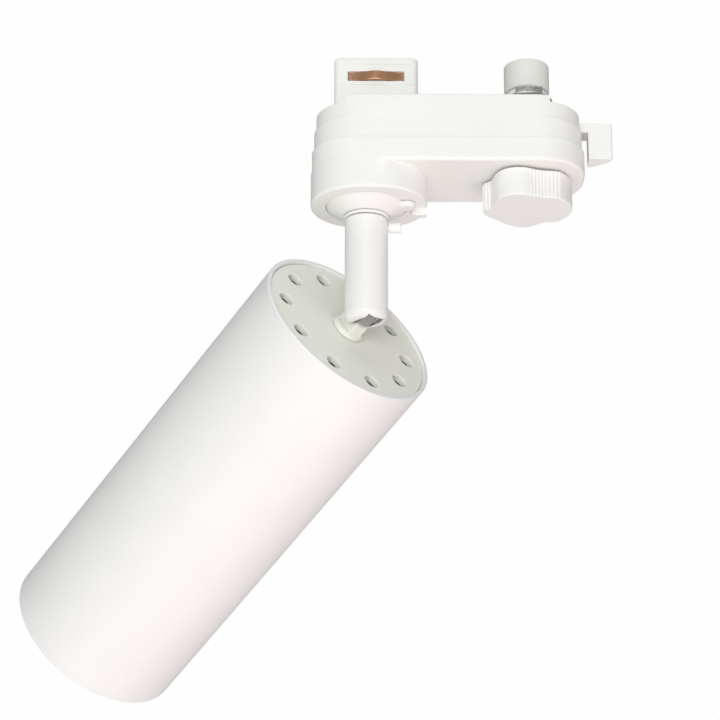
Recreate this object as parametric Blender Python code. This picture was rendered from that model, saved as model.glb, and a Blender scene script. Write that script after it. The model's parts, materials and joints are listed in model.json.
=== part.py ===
"""Track lighting fixture: a cylindrical spotlight on a three-circuit track adapter.

The origin is the centre of the face that bears on the underside of the track.
+X runs along the track towards the selector knob and the lock lever, +Z is up.
The lamp head is stored as it is used, tilted up from hanging straight down.
"""

from math import asin, cos, pi, radians, sin

import bmesh
import bpy

MM = 0.001
GAP = 0.3 * MM

# Facets round a full turn, for large, middle and small round pieces.
LARGE = 48
MIDDLE = 24
SMALL = 12
CORNER_STEPS = 4
SMOOTH_ANGLE = radians(35)
# A small turn about Z that keeps a round cutter's corners off the edges it crosses.
OFF_EDGES = (0, 0, radians(4))

# Adapter housing, from the bearing face downwards.
FLANGE_LENGTH = 87.8 * MM
FLANGE_WIDTH = 34.8 * MM
TIER_STEP = 0.7 * MM
CORNER_RADIUS = 15.5 * MM
PAD_START = -34.3 * MM
PAD_END = 33.3 * MM
PAD_HEIGHT = 2.4 * MM
STEP_Z = -8.4 * MM
SEAM_Z = -15.6 * MM
HOUSING_BOTTOM_Z = -24.0 * MM
HOUSING_WALL = 1.8 * MM
HOUSING_FLOOR = 2.0 * MM
TOP_PLATE_Z = -3.6 * MM
EDGE_ROUND = 1.2 * MM
STEP_HALF = 0.2 * MM
TOP_ROUND = 0.5 * MM

# Swivel boss under the left end of the housing, a little off the swivel's own axis.
SWIVEL_X = -27.09 * MM
BOSS_SHIFT = 0.8 * MM
BOSS_HALF_LENGTH = 19.3 * MM
BOSS_CORNER = 17.0 * MM
BOSS_CORNER_STEPS = 9
BOSS_INSET = 0.02 * MM
BOSS_BORE = 16.2 * MM
BOSS_ROUND = 1.0 * MM
BOSS_BOTTOM_Z = -33.6 * MM
BOSS_FLOOR_Z = -28.8 * MM
RECESS_Z = -31.4 * MM
LUG_START = radians(1)
LUG_SWEEP = radians(10)
LUG_INNER = 14.4 * MM
LUG_OUTER = 19.0 * MM
LUG_TOP_Z = -30.0 * MM
LUG_BOTTOM_Z = -35.8 * MM
END_SCREW_Z = -19.2 * MM
END_SCREW_HEAD = 2.4 * MM
END_SCREW_RADIUS = 1.4 * MM
END_SCREW_LENGTH = 2.6 * MM
END_SCREW_HEAD_HEIGHT = 0.9 * MM
END_SCREW_SINK = 0.7 * MM
NIPPLE_CLEARANCE = 0.4 * MM
RECESS_GAP = 0.35 * MM

# Swivel: a low cone with a stop ear, which carries the stem.
SWIVEL_RADIUS = 13.4 * MM
SWIVEL_EDGE_Z = -33.2 * MM
CONE_RADIUS = 8.2 * MM
CONE_BOTTOM_Z = -36.9 * MM
EAR_AZIMUTH = radians(-18)
EAR_CENTRE = 13.9 * MM
EAR_RADIUS = 2.8 * MM
EAR_BOTTOM_Z = -35.6 * MM
NIPPLE_RADIUS = 4.9 * MM
NIPPLE_BORE = 3.4 * MM
NIPPLE_TOP_Z = -21.0 * MM
NIPPLE_BOTTOM_Z = -46.0 * MM
NUT_ACROSS_FLATS = 15.0 * MM
COLLAR_RADIUS = 7.6 * MM
COLLAR_HEIGHT = 0.9 * MM

# Stem, with a round slotted end that is the fork of the tilt joint.
STEM_RADIUS = 7.09 * MM
STEM_END = 5.3 * MM
STEM_END_ROUND = 2.6 * MM
STEM_TOP_Z = -38.3 * MM
STEM_BORE = 5.2 * MM
STEM_BORE_DEPTH = 17.0 * MM
WIRE_BORE = 3.0 * MM
WIRE_BORE_END = 2.8 * MM
PIVOT_Z = -68.76 * MM
SLOT_WIDTH = 7.0 * MM
SLOT_TOP = 5.3 * MM
PIVOT_RADIUS = 2.0 * MM
PIVOT_HEAD_RADIUS = 3.3 * MM
PIVOT_HEAD_DEPTH = 2.0 * MM
LOCK_SCREW_Z = -40.8 * MM
LOCK_SCREW_RADIUS = 1.1 * MM
LOCK_SCREW_HEAD = 1.7 * MM
LOCK_SCREW_REACH = 11.4 * MM

# Lamp head: heading of the beam about +Z, and its tilt from straight down.
HEADING = radians(131.55)
TILT = radians(60)
HEAD_RADIUS = 32.05 * MM
HEAD_BORE = 30.6 * MM
HEAD_BACK = 9.8 * MM
HEAD_FRONT = 166.4 * MM
CAP_RADIUS = 30.3 * MM
CAP_FACE = 10.8 * MM
CAP_THICKNESS = 1.6 * MM
CAP_SKIRT = 9.0 * MM
CAP_SKIRT_BORE = 28.2 * MM
VENT_COUNT = 10
VENT_RADIUS = 2.65 * MM
VENT_CIRCLE = 24.1 * MM
VENT_PHASE = radians(17.55)
VENT_CORNERS = 10

# Knuckle on the rear cap.
TONGUE_WIDTH = 10.0 * MM
TONGUE_THICKNESS = 5.0 * MM
FOOT_RADIUS = 5.6 * MM
FOOT_TOP = 8.8 * MM
SHANK_RADIUS = 4.0 * MM
SHANK_END = 20.0 * MM

# Lock lever, sleeve and cam, all on one upright axis, with the selector inside.
TURRET_X = 26.8 * MM
LEVER_TOP_Z = -4.1 * MM
LEVER_BOTTOM_Z = -7.5 * MM
LEVER_SWEEP = radians(90)
LEVER_RING = 10.5 * MM
ARM_HALF_WIDTH = 3.5 * MM
PADDLE_INNER = 20.0 * MM
PADDLE_OUTER = 28.0 * MM
PADDLE_BOTTOM_Z = -17.2 * MM
WINDOW_INNER = 12.0 * MM
WINDOW_OUTER = 26.0 * MM
SLEEVE_RADIUS = 7.0 * MM
SLEEVE_BORE = 3.6 * MM
SLEEVE_TOP_Z = 7.7 * MM
SLEEVE_BOTTOM_Z = -9.4 * MM
CAM_BOTTOM_Z = 2.6 * MM
CAM_TOP_Z = 5.2 * MM
CAM_REACH = 13.0 * MM
CAM_HALF_WIDTH = 4.5 * MM
CAM_RING = 8.6 * MM

# Selector knob: crests and hollows of its rim, as azimuth in degrees and radius in mm.
KNOB_RIM = (
    (-165, 13.0),
    (-120, 15.2),
    (-72, 12.2),
    (-44, 14.1),
    (0, 14.3),
    (38, 14.1),
    (62, 11.9),
    (95, 14.7),
    (138, 13.3),
    (176, 15.4),
)
KNOB_TOP_Z = -24.5 * MM
KNOB_BOTTOM_Z = -34.5 * MM
KNOB_POINTS = 50
SPINDLE_RADIUS = 3.2 * MM
CARRIER_RADIUS = 7.6 * MM
CARRIER_BOTTOM_Z = 8.0 * MM
CARRIER_TOP_Z = 18.0 * MM

# Neck block that enters the track on the left, with the fixed contacts.
NECK_START = -38.0 * MM
NECK_END = -10.0 * MM
NECK_HALF_WIDTH = 7.7 * MM
NECK_TOP_Z = 18.0 * MM
NECK_FOOT_Z = -12.0 * MM
CONTACT_DEPTH = 2.2 * MM
CONTACT_REACH = 1.4 * MM
CONTACT_THICKNESS = 0.8 * MM
CONTACT_HEIGHT = 3.0 * MM
POCKET_HALF_LENGTH = 9.5 * MM
NEUTRAL_Z = 11.0 * MM
EARTH_Z = 4.5 * MM
NECK_CORNER = 2.0 * MM
NECK_TOP_EDGE = 1.0 * MM

# Terminal block in the housing, as its lowest and highest corners, with its screws.
TERMINAL_LOW = (-6.0 * MM, -11.0 * MM, -21.7 * MM)
TERMINAL_HIGH = (8.0 * MM, 11.0 * MM, -11.5 * MM)
TERMINAL_COUNT = 3
TERMINAL_PITCH = 7.0 * MM
TERMINAL_X = 1.0 * MM
TERMINAL_WELL_RADIUS = 2.5 * MM
TERMINAL_WELL_DEPTH = 6.0 * MM
TERMINAL_SCREW_DEPTH = 3.5 * MM
TERMINAL_SCREW = (2.0 * MM, 1.2 * MM, 2.1 * MM, 1.4 * MM)

# Lamp inside, as distances from the tilt pivot along the beam.
DRIVER_START = 27.0 * MM
DRIVER_END = 87.0 * MM
HEAT_SINK_START = 94.0 * MM
HEAT_SINK_END = 134.0 * MM
FIN_COUNT = 20
FIN_THICKNESS = 1.5 * MM
FIN_TIP = 30.0 * MM
FIN_ROOT = 16.0 * MM
REFLECTOR_BACK = 138.1 * MM
REFLECTOR_FRONT = 159.0 * MM
REFLECTOR_MOUTH = 28.4 * MM
REFLECTOR_THROAT = 8.6 * MM
REFLECTOR_WALL = 0.7 * MM
LENS_BACK = 160.6 * MM
LENS_THICKNESS = 2.2 * MM
LEAD_RADIUS = 1.5 * MM
LED_LEAD_RADIUS = 1.05 * MM

# Driver tray and what stands on its board.
TRAY_HALF_WIDTH = 20.0 * MM
TRAY_FLOOR = -9.0 * MM
TRAY_WALL = 1.2 * MM
TRAY_SIDE = 13.0 * MM
BOARD_THICKNESS = 1.6 * MM
TRANSFORMER_LEFT = -10.0 * MM
TRANSFORMER_RIGHT = 9.0 * MM
TRANSFORMER_HEIGHT = 13.0 * MM
TRANSFORMER_START = 44.0 * MM
TRANSFORMER_END = 62.0 * MM
# The round components: name, radius, height, place across and place along.
CANS = (
    ("driver_capacitor", 5.0 * MM, 14.0 * MM, 4.0 * MM, 36.0 * MM),
    ("driver_choke", 4.5 * MM, 9.0 * MM, -9.0 * MM, 36.0 * MM),
    ("output_capacitor", 6.0 * MM, 12.0 * MM, 2.0 * MM, 74.0 * MM),
)

# LED board, emitter and holder, in front of the heat sink.
LED_BOARD_RADIUS = 9.0 * MM
LED_BOARD_THICKNESS = 1.2 * MM
EMITTER_RADIUS = 6.0 * MM
EMITTER_THICKNESS = 0.5 * MM
HOLDER_BORE = 9.3 * MM
HOLDER_RADIUS = 15.6 * MM
HOLDER_SCREW_CIRCLE = 12.6 * MM
HOLDER_SCREW_RADIUS = 1.1 * MM
HOLDER_SCREW_WELL = 6.5 * MM
HOLDER_SCREW = (7.0 * MM, HOLDER_SCREW_RADIUS, 1.9 * MM, 1.2 * MM)
REFLECTOR_STEPS = 4
REFLECTOR_COLLAR = 2.0 * MM
REFLECTOR_FLARE = 0.62
SEAL_BORE = 27.8 * MM
RING_BORE = 28.2 * MM
RING_MOUTH = 28.9 * MM
RING_SINK = 0.6 * MM

# Routes of the leads, in millimetres, in the frame of the body that each rides on.
ADAPTER_ROUTE = ((-6.6, 0, -17), (-14, 0, -16), (-22, 0, -15.2),
                 (SWIVEL_X / MM, 0, -17.5), (SWIVEL_X / MM, 0, -23.5))
STEM_ROUTE = ((0, 0, -24), (0, 0, -40), (0, 0, -52), (0, 0, (PIVOT_Z + SLOT_TOP) / MM + 0.2))
HEAD_ROUTE = ((0, 0, 6.2), (0, 0, 14), (0, 0, 21), (0, -2, 25), (0, -3.4, 30))
LED_ROUTE = ((0, -3.4, 82.5), (0, 4, 88), (0, 18, 90.5), (0, 23, 96), (0, 23, 114), (0, 23, 131),
             (0, 21.5, 135.6), (0, 17.6, 136.2))

WHITE_PLASTIC = ((0.90, 0.90, 0.88), 0.38, 0.0)
INNER_PLASTIC = ((0.80, 0.80, 0.77), 0.50, 0.0)
BLACK_PLASTIC = ((0.03, 0.03, 0.03), 0.45, 0.0)
WHITE_PAINT = ((0.91, 0.91, 0.90), 0.42, 0.0)
GREY_PAINT = ((0.70, 0.71, 0.68), 0.45, 0.0)
STEEL = ((0.62, 0.62, 0.60), 0.30, 1.0)
ALUMINIUM = ((0.75, 0.76, 0.77), 0.32, 1.0)
COPPER = ((0.85, 0.48, 0.30), 0.28, 1.0)
BRASS = ((0.80, 0.62, 0.30), 0.30, 1.0)
GREEN_BOARD = ((0.05, 0.28, 0.12), 0.40, 0.0)
PHOSPHOR = ((0.95, 0.80, 0.25), 0.60, 0.0)
CERAMIC = ((0.90, 0.90, 0.88), 0.55, 0.0)
GLASS = ((0.95, 0.97, 0.97), 0.05, 0.0)
SILICONE = ((0.55, 0.55, 0.55), 0.70, 0.0)
BLUE_SLEEVE = ((0.05, 0.10, 0.35), 0.40, 0.0)
YELLOW_TAPE = ((0.85, 0.65, 0.10), 0.50, 0.0)


def clear_scene():
    """Remove every object the file starts with."""
    for thing in list(bpy.data.objects):
        bpy.data.objects.remove(thing)


def frame(name, parent=None, location=(0, 0, 0), rotation=(0, 0, 0)):
    """An empty that carries the pieces of one axis."""
    empty = bpy.data.objects.new(name, None)
    bpy.context.collection.objects.link(empty)
    empty.parent = parent
    empty.location = location
    empty.rotation_euler = rotation
    return empty


def place(name, shape, parent, location, rotation):
    """Turn a bmesh into an object under a frame."""
    bmesh.ops.recalc_face_normals(shape, faces=shape.faces)
    mesh = bpy.data.meshes.new(name)
    shape.to_mesh(mesh)
    shape.free()
    thing = bpy.data.objects.new(name, mesh)
    bpy.context.collection.objects.link(thing)
    thing.parent = parent
    thing.location = location
    thing.rotation_euler = rotation
    return thing


def piece(name, shape, finish, parent, location=(0, 0, 0), rotation=(0, 0, 0)):
    """One sub-part with its own material."""
    thing = place(name, shape, parent, location, rotation)
    colour, roughness, metallic = finish
    material = bpy.data.materials.new(name)
    material.use_nodes = True
    shader = material.node_tree.nodes["Principled BSDF"]
    shader.inputs["Base Color"].default_value = (*colour, 1.0)
    shader.inputs["Roughness"].default_value = roughness
    shader.inputs["Metallic"].default_value = metallic
    thing.data.materials.append(material)
    thing.data.shade_smooth()
    thing.data.set_sharp_from_angle(angle=SMOOTH_ANGLE)
    return thing


def combine(target, shape, operation, location=(0, 0, 0), rotation=(0, 0, 0)):
    """Cut a shape from a piece, or join it on, with a Boolean."""
    name = f"{target.name}_{operation.lower()}_{len(target.modifiers)}"
    tool = place(name, shape, target.parent, location, rotation)
    tool.hide_render = True
    tool.display_type = "WIRE"
    modifier = target.modifiers.new(name, "BOOLEAN")
    modifier.operation = operation
    modifier.solver = "EXACT"
    modifier.object = tool


def cut(target, shape, location=(0, 0, 0), rotation=(0, 0, 0)):
    combine(target, shape, "DIFFERENCE", location, rotation)


def join(target, shape, location=(0, 0, 0), rotation=(0, 0, 0)):
    combine(target, shape, "UNION", location, rotation)


def arc(radius, start, sweep, steps, centre=(0.0, 0.0)):
    """Points along an arc, both ends included."""
    points = []
    for step in range(steps + 1):
        angle = start + sweep * step / steps
        points.append((centre[0] + radius * cos(angle), centre[1] + radius * sin(angle)))
    return points


def circle(radius, count, phase=0.0):
    """Corners of a regular outline."""
    return [(radius * cos(phase + 2 * pi * i / count), radius * sin(phase + 2 * pi * i / count))
            for i in range(count)]


def rounded_rectangle(half_length, half_width, radius, steps=CORNER_STEPS):
    """Outline of a rectangle with round corners, counter-clockwise."""
    points = []
    for x_side, y_side, start in ((1, 1, 0), (-1, 1, 90), (-1, -1, 180), (1, -1, 270)):
        centre = (x_side * (half_length - radius), y_side * (half_width - radius))
        points += arc(radius, radians(start), pi / 2, steps, centre)
    return points


def loft(levels):
    """Skin equal outlines stacked on Z, given as (outline, height), and cap the ends."""
    shape = bmesh.new()
    rows = [[shape.verts.new((x, y, height)) for x, y in outline] for outline, height in levels]
    for low, high in zip(rows, rows[1:]):
        for i in range(len(low)):
            j = (i + 1) % len(low)
            shape.faces.new((low[i], low[j], high[j], high[i]))
    shape.faces.new(rows[0])
    shape.faces.new(rows[-1])
    return shape


def prism(outline, bottom, top):
    return loft([(outline, bottom), (outline, top)])


def box(low, high):
    outline = [(low[0], low[1]), (high[0], low[1]), (high[0], high[1]), (low[0], high[1])]
    return prism(outline, low[2], high[2])


def turned(profile, count):
    """Turn a closed (radius, height) profile about Z."""
    shape = bmesh.new()
    rows = []
    for radius, height in profile:
        corners = circle(radius, count) if radius > 0 else [(0, 0)]
        rows.append([shape.verts.new((x, y, height)) for x, y in corners])
    for row, following in zip(rows, rows[1:] + rows[:1]):
        if len(row) == 1 and len(following) == 1:
            continue
        for i in range(count):
            j = (i + 1) % count
            corners = (row[i % len(row)], row[j % len(row)],
                       following[j % len(following)], following[i % len(following)])
            shape.faces.new(tuple(dict.fromkeys(corners)))
    return shape


def ring(inner, outer, bottom, top, count):
    return turned([(inner, bottom), (outer, bottom), (outer, top), (inner, top)], count)


def disc(radius, bottom, top, count):
    return prism(circle(radius, count), bottom, top)


def tube(name, points, radius, finish, parent):
    """A lead: a smooth path with a round section and closed ends."""
    curve = bpy.data.curves.new(name, "CURVE")
    curve.dimensions = "3D"
    curve.bevel_depth = radius
    curve.bevel_resolution = 2
    curve.use_fill_caps = True
    spline = curve.splines.new("POLY")
    path = smooth_path(points)
    spline.points.add(len(path) - 1)
    for point, place_on_path in zip(spline.points, path):
        point.co = (*place_on_path, 1.0)
    lead = bpy.data.objects.new(name, curve)
    bpy.context.collection.objects.link(lead)
    lead.parent = parent
    material = bpy.data.materials.new(name)
    material.use_nodes = True
    shader = material.node_tree.nodes["Principled BSDF"]
    shader.inputs["Base Color"].default_value = (*finish[0], 1.0)
    shader.inputs["Roughness"].default_value = finish[1]
    curve.materials.append(material)
    return lead


def smooth_path(points, steps=3):
    """Points along a Catmull-Rom curve through the given ones."""
    ends = [points[0]] + list(points) + [points[-1]]
    path = []
    for before, start, end, after in zip(ends, ends[1:], ends[2:], ends[3:]):
        for step in range(steps):
            t = step / steps
            path.append(tuple(
                0.5 * (2 * s + (e - b) * t + (2 * b - 5 * s + 4 * e - a) * t ** 2
                       + (3 * s - b - 3 * e + a) * t ** 3)
                for b, s, e, a in zip(before, start, end, after)))
    path.append(tuple(points[-1]))
    return path


# Adapter ------------------------------------------------------------------

def tier(grow, inset=0.0):
    """Outline of one tier of the housing, each a step wider than the one above."""
    half_length = FLANGE_LENGTH / 2 + grow * TIER_STEP - inset
    half_width = FLANGE_WIDTH / 2 + grow * TIER_STEP / 2 - inset
    return rounded_rectangle(half_length, half_width, CORNER_RADIUS - inset)


def upper_housing(parent):
    levels = [
        (tier(1, HOUSING_WALL), TOP_PLATE_Z),
        (tier(1, HOUSING_WALL), SEAM_Z),
        (tier(1), SEAM_Z),
        (tier(1), STEP_Z - STEP_HALF),
        (tier(0), STEP_Z + STEP_HALF),
        (tier(0), -TOP_ROUND),
        (tier(0, TOP_ROUND), 0.0),
    ]
    shell = piece("upper_housing", loft(levels), WHITE_PLASTIC, parent)
    far = FLANGE_LENGTH
    for start, end in ((-far, PAD_START), (PAD_END, far)):
        cut(shell, box((start, -far, -PAD_HEIGHT), (end, far, MM)))
    clearance = NECK_HALF_WIDTH + GAP
    cut(shell, box((NECK_START - GAP, -clearance, TOP_PLATE_Z - MM), (NECK_END + GAP, clearance, MM)))
    cut(shell, disc(SLEEVE_RADIUS + GAP, TOP_PLATE_Z - MM, MM, MIDDLE), (TURRET_X, 0, 0))
    cut(shell, lever_window(), (TURRET_X, 0, 0))


def lever_window():
    """The slot that the lock lever's arm sweeps through."""
    margin = radians(15)
    inner, outer = WINDOW_INNER, WINDOW_OUTER
    sweep = LEVER_SWEEP + 2 * margin
    outline = arc(outer, -margin, sweep, 8) + arc(inner, sweep - margin, -sweep, 8)
    return prism(outline, LEVER_BOTTOM_Z - GAP, LEVER_TOP_Z + GAP)


def boss_outline(inset=0.0):
    """The boss in plan: all but round, and flush with the housing's long walls."""
    half_width = FLANGE_WIDTH / 2 + TIER_STEP - BOSS_INSET
    return rounded_rectangle(BOSS_HALF_LENGTH - inset, half_width - inset, BOSS_CORNER - inset,
                             BOSS_CORNER_STEPS)


def boss_shape():
    """The boss, with a round lower edge."""
    levels = []
    for inset, rise in arc(BOSS_ROUND, -pi / 2, -pi / 2, 3, (BOSS_ROUND, BOSS_ROUND)):
        levels.append((boss_outline(inset), BOSS_BOTTOM_Z + rise))
    levels.append((boss_outline(), HOUSING_BOTTOM_Z + HOUSING_FLOOR * 0.7))
    return loft(levels)


def boss_bore_profile():
    """Section of what is cut from the boss: nut space, nipple hole and swivel recess."""
    top = HOUSING_BOTTOM_Z + HOUSING_FLOOR + 2 * MM
    hole = NIPPLE_RADIUS + NIPPLE_CLEARANCE
    recess = SWIVEL_RADIUS + RECESS_GAP
    return [(0, top), (BOSS_BORE, top), (BOSS_BORE, BOSS_FLOOR_Z), (hole, BOSS_FLOOR_Z),
            (hole, RECESS_Z), (recess, RECESS_Z), (recess, LUG_BOTTOM_Z - MM), (0, LUG_BOTTOM_Z - MM)]


def lower_housing(parent):
    top = SEAM_Z - GAP
    levels = [
        (tier(2), top),
        (tier(2), HOUSING_BOTTOM_Z + EDGE_ROUND),
        (tier(2, EDGE_ROUND * 0.3), HOUSING_BOTTOM_Z + EDGE_ROUND * 0.3),
        (tier(2, EDGE_ROUND), HOUSING_BOTTOM_Z),
    ]
    shell = piece("lower_housing", loft(levels), WHITE_PLASTIC, parent)
    at_boss = (SWIVEL_X + BOSS_SHIFT, 0, 0)
    join(shell, boss_shape(), at_boss)
    lug = arc(LUG_OUTER, LUG_START, LUG_SWEEP, 3)
    lug += arc(LUG_INNER, LUG_START + LUG_SWEEP, -LUG_SWEEP, 3)
    join(shell, prism(lug, LUG_BOTTOM_Z, LUG_TOP_Z), at_boss)
    cut(shell, prism(tier(2, HOUSING_WALL), HOUSING_BOTTOM_Z + HOUSING_FLOOR, top + MM))
    cut(shell, turned(boss_bore_profile(), MIDDLE), (SWIVEL_X, 0, 0), OFF_EDGES)
    floor = HOUSING_BOTTOM_Z + HOUSING_FLOOR
    cut(shell, disc(SPINDLE_RADIUS + GAP, HOUSING_BOTTOM_Z - MM, floor + MM, SMALL), (TURRET_X, 0, 0))
    end = (-FLANGE_LENGTH / 2 - 2 * TIER_STEP, 0, END_SCREW_Z)
    along_x = (0, -pi / 2, OFF_EDGES[2])
    cut(shell, disc(END_SCREW_HEAD + GAP, -1.0 * MM, 2 * MM, SMALL), end, along_x)
    cut(shell, disc(END_SCREW_RADIUS + GAP, -3 * MM, -0.5 * MM, SMALL), end, along_x)


def screw(length, radius, head_radius, head_height, count=SMALL, drive=0.5):
    """A screw pointing down -Z, head above z = 0, with a hexagon socket in its head."""
    socket = head_radius * drive
    depth = head_height * 0.6
    profile = [(0, -length), (radius, -length), (radius, 0), (head_radius, 0),
               (head_radius, head_height * 0.7), (head_radius * 0.85, head_height),
               (socket, head_height), (socket, head_height - depth), (0, head_height - depth)]
    return turned(profile, count)


def end_screw(parent):
    end = (-FLANGE_LENGTH / 2 - 2 * TIER_STEP + END_SCREW_SINK, 0, END_SCREW_Z)
    shape = screw(END_SCREW_LENGTH, END_SCREW_RADIUS, END_SCREW_HEAD, END_SCREW_HEAD_HEIGHT)
    piece("housing_end_screw", shape, STEEL, parent, end, (0, -pi / 2, 0))


def contact_pocket(side, height):
    """The space cut in the neck for one contact; side is -1 or +1 along Y."""
    middle = (NECK_START + NECK_END) / 2
    inner = NECK_HALF_WIDTH - CONTACT_DEPTH
    outer = NECK_HALF_WIDTH + MM
    near, far = sorted((side * inner, side * outer))
    half_height = CONTACT_HEIGHT / 2 + GAP
    return box((middle - POCKET_HALF_LENGTH, near, height - half_height),
               (middle + POCKET_HALF_LENGTH, far, height + half_height))


def contact_strip(half_length, depth, reach):
    """A bowed strip that stands out of its pocket, from above, bow towards +Y."""
    outer, inner = [], []
    for step in range(9):
        along = -half_length + 2 * half_length * step / 8
        bow = 0.5 + 0.5 * cos(pi * along / half_length)
        height = -depth + (depth + reach) * bow
        outer.append((along, height))
        inner.append((along, height - CONTACT_THICKNESS))
    return outer + inner[::-1]


def contact_carrier(parent):
    top_edge = NECK_TOP_EDGE
    middle = (NECK_START + NECK_END) / 2
    half_length = (NECK_END - NECK_START) / 2
    full = rounded_rectangle(half_length, NECK_HALF_WIDTH, NECK_CORNER, 3)
    narrow = rounded_rectangle(half_length - top_edge, NECK_HALF_WIDTH - top_edge, NECK_CORNER - top_edge, 3)
    shape = loft([(full, NECK_FOOT_Z), (full, NECK_TOP_Z - top_edge), (narrow, NECK_TOP_Z)])
    block = piece("contact_carrier", shape, WHITE_PLASTIC, parent, (middle, 0, 0))
    for side, height in ((-1, NEUTRAL_Z), (1, EARTH_Z)):
        cut(block, contact_pocket(side, height))
    for name, side, height in (("neutral_contact", -1, NEUTRAL_Z), ("earth_contact", 1, EARTH_Z)):
        depth = CONTACT_DEPTH - GAP - CONTACT_THICKNESS
        outline = contact_strip(POCKET_HALF_LENGTH - GAP, depth, CONTACT_REACH)
        shape = prism(outline, -CONTACT_HEIGHT / 2, CONTACT_HEIGHT / 2)
        turn = 0 if side > 0 else pi
        piece(name, shape, COPPER, parent, (middle, side * NECK_HALF_WIDTH, height), (0, 0, turn))


def terminal_block(parent):
    top = TERMINAL_HIGH[2]
    block = piece("terminal_block", box(TERMINAL_LOW, TERMINAL_HIGH), INNER_PLASTIC, parent)
    for index in range(TERMINAL_COUNT):
        spot = (TERMINAL_X, (index - 1) * TERMINAL_PITCH, top)
        cut(block, disc(TERMINAL_WELL_RADIUS, -TERMINAL_WELL_DEPTH, MM, SMALL), spot)
        shape = screw(*TERMINAL_SCREW, SMALL)
        seat = (spot[0], spot[1], top - TERMINAL_SCREW_DEPTH)
        piece(f"terminal_screw_{index + 1}", shape, BRASS, parent, seat)


# Track lock and selector --------------------------------------------------

def lock_lever(parent):
    shape = ring(SLEEVE_RADIUS + GAP, LEVER_RING, LEVER_BOTTOM_Z, LEVER_TOP_Z, MIDDLE)
    lever = piece("lock_lever", shape, WHITE_PLASTIC, parent)
    start = SLEEVE_RADIUS + 2 * MM
    end = PADDLE_INNER + 2 * MM
    inset = 0.02 * MM
    arm = box((start, -ARM_HALF_WIDTH + inset, LEVER_BOTTOM_Z + inset),
              (end, ARM_HALF_WIDTH - inset, LEVER_TOP_Z - inset))
    join(lever, arm)
    paddle = [
        (PADDLE_INNER, -ARM_HALF_WIDTH),
        (PADDLE_OUTER - 0.4 * MM, -ARM_HALF_WIDTH + 0.3 * MM),
        (PADDLE_OUTER, -ARM_HALF_WIDTH + 0.8 * MM),
        (PADDLE_OUTER - 0.4 * MM, -1.6 * MM),
        (PADDLE_INNER + 4.0 * MM, 1.6 * MM),
        (PADDLE_INNER + 0.8 * MM, ARM_HALF_WIDTH),
        (PADDLE_INNER, ARM_HALF_WIDTH - 0.4 * MM),
    ]
    join(lever, prism(paddle, PADDLE_BOTTOM_Z, LEVER_TOP_Z))


def lock_sleeve(parent):
    foot = LEVER_BOTTOM_Z - GAP
    profile = [(SLEEVE_BORE, SLEEVE_BOTTOM_Z), (SLEEVE_RADIUS + 1.6 * MM, SLEEVE_BOTTOM_Z),
               (SLEEVE_RADIUS + 1.6 * MM, foot), (SLEEVE_RADIUS, foot),
               (SLEEVE_RADIUS, SLEEVE_TOP_Z), (SLEEVE_BORE, SLEEVE_TOP_Z)]
    piece("lock_sleeve", turned(profile, MIDDLE), WHITE_PLASTIC, parent)


def lock_cam(parent):
    """A steel plate round the sleeve, with two wings that pass over the track's lips."""
    start = asin(CAM_HALF_WIDTH / CAM_RING)
    side = arc(CAM_RING, -pi / 2 + start, pi - 2 * start, 8)
    wing = arc(CAM_REACH, pi / 2 - start * 0.62, start * 1.24, 4)
    half = side + wing
    outline = half + [(-x, -y) for x, y in half]
    cam = piece("lock_cam", prism(outline, CAM_BOTTOM_Z, CAM_TOP_Z), STEEL, parent)
    cut(cam, disc(SLEEVE_RADIUS + GAP, CAM_BOTTOM_Z - MM, CAM_TOP_Z + MM, MIDDLE))


def knob_radius(degrees):
    """Radius of the rim, eased between the crests and hollows that are named."""
    turns = KNOB_RIM + ((KNOB_RIM[0][0] + 360, KNOB_RIM[0][1]),)
    for (start, radius), (end, following) in zip(turns, turns[1:]):
        if start <= degrees <= end:
            share = 0.5 - 0.5 * cos(pi * (degrees - start) / (end - start))
            return (radius + (following - radius) * share) * MM
    return turns[0][1] * MM


def knob_outline(shrink=0.0):
    """The knob in plan: broad lobes with hollows for the fingers between them."""
    points = []
    for step in range(KNOB_POINTS):
        degrees = KNOB_RIM[0][0] + 360 * step / KNOB_POINTS
        radius = knob_radius(degrees) - shrink
        points.append((radius * cos(radians(degrees)), radius * sin(radians(degrees))))
    return points


def selector_knob(parent):
    chamfer = 0.5 * MM
    levels = [(knob_outline(chamfer), KNOB_BOTTOM_Z), (knob_outline(), KNOB_BOTTOM_Z + chamfer),
              (knob_outline(), KNOB_TOP_Z)]
    knob = piece("selector_knob", loft(levels), WHITE_PLASTIC, parent)
    cut(knob, disc(SPINDLE_RADIUS + GAP, KNOB_BOTTOM_Z + 2.7 * MM, KNOB_TOP_Z + MM, SMALL))


def selector_shaft(parent):
    shape = disc(SPINDLE_RADIUS, KNOB_BOTTOM_Z + 3 * MM, CARRIER_TOP_Z - 2 * MM, SMALL)
    piece("selector_spindle", shape, STEEL, parent)


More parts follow.
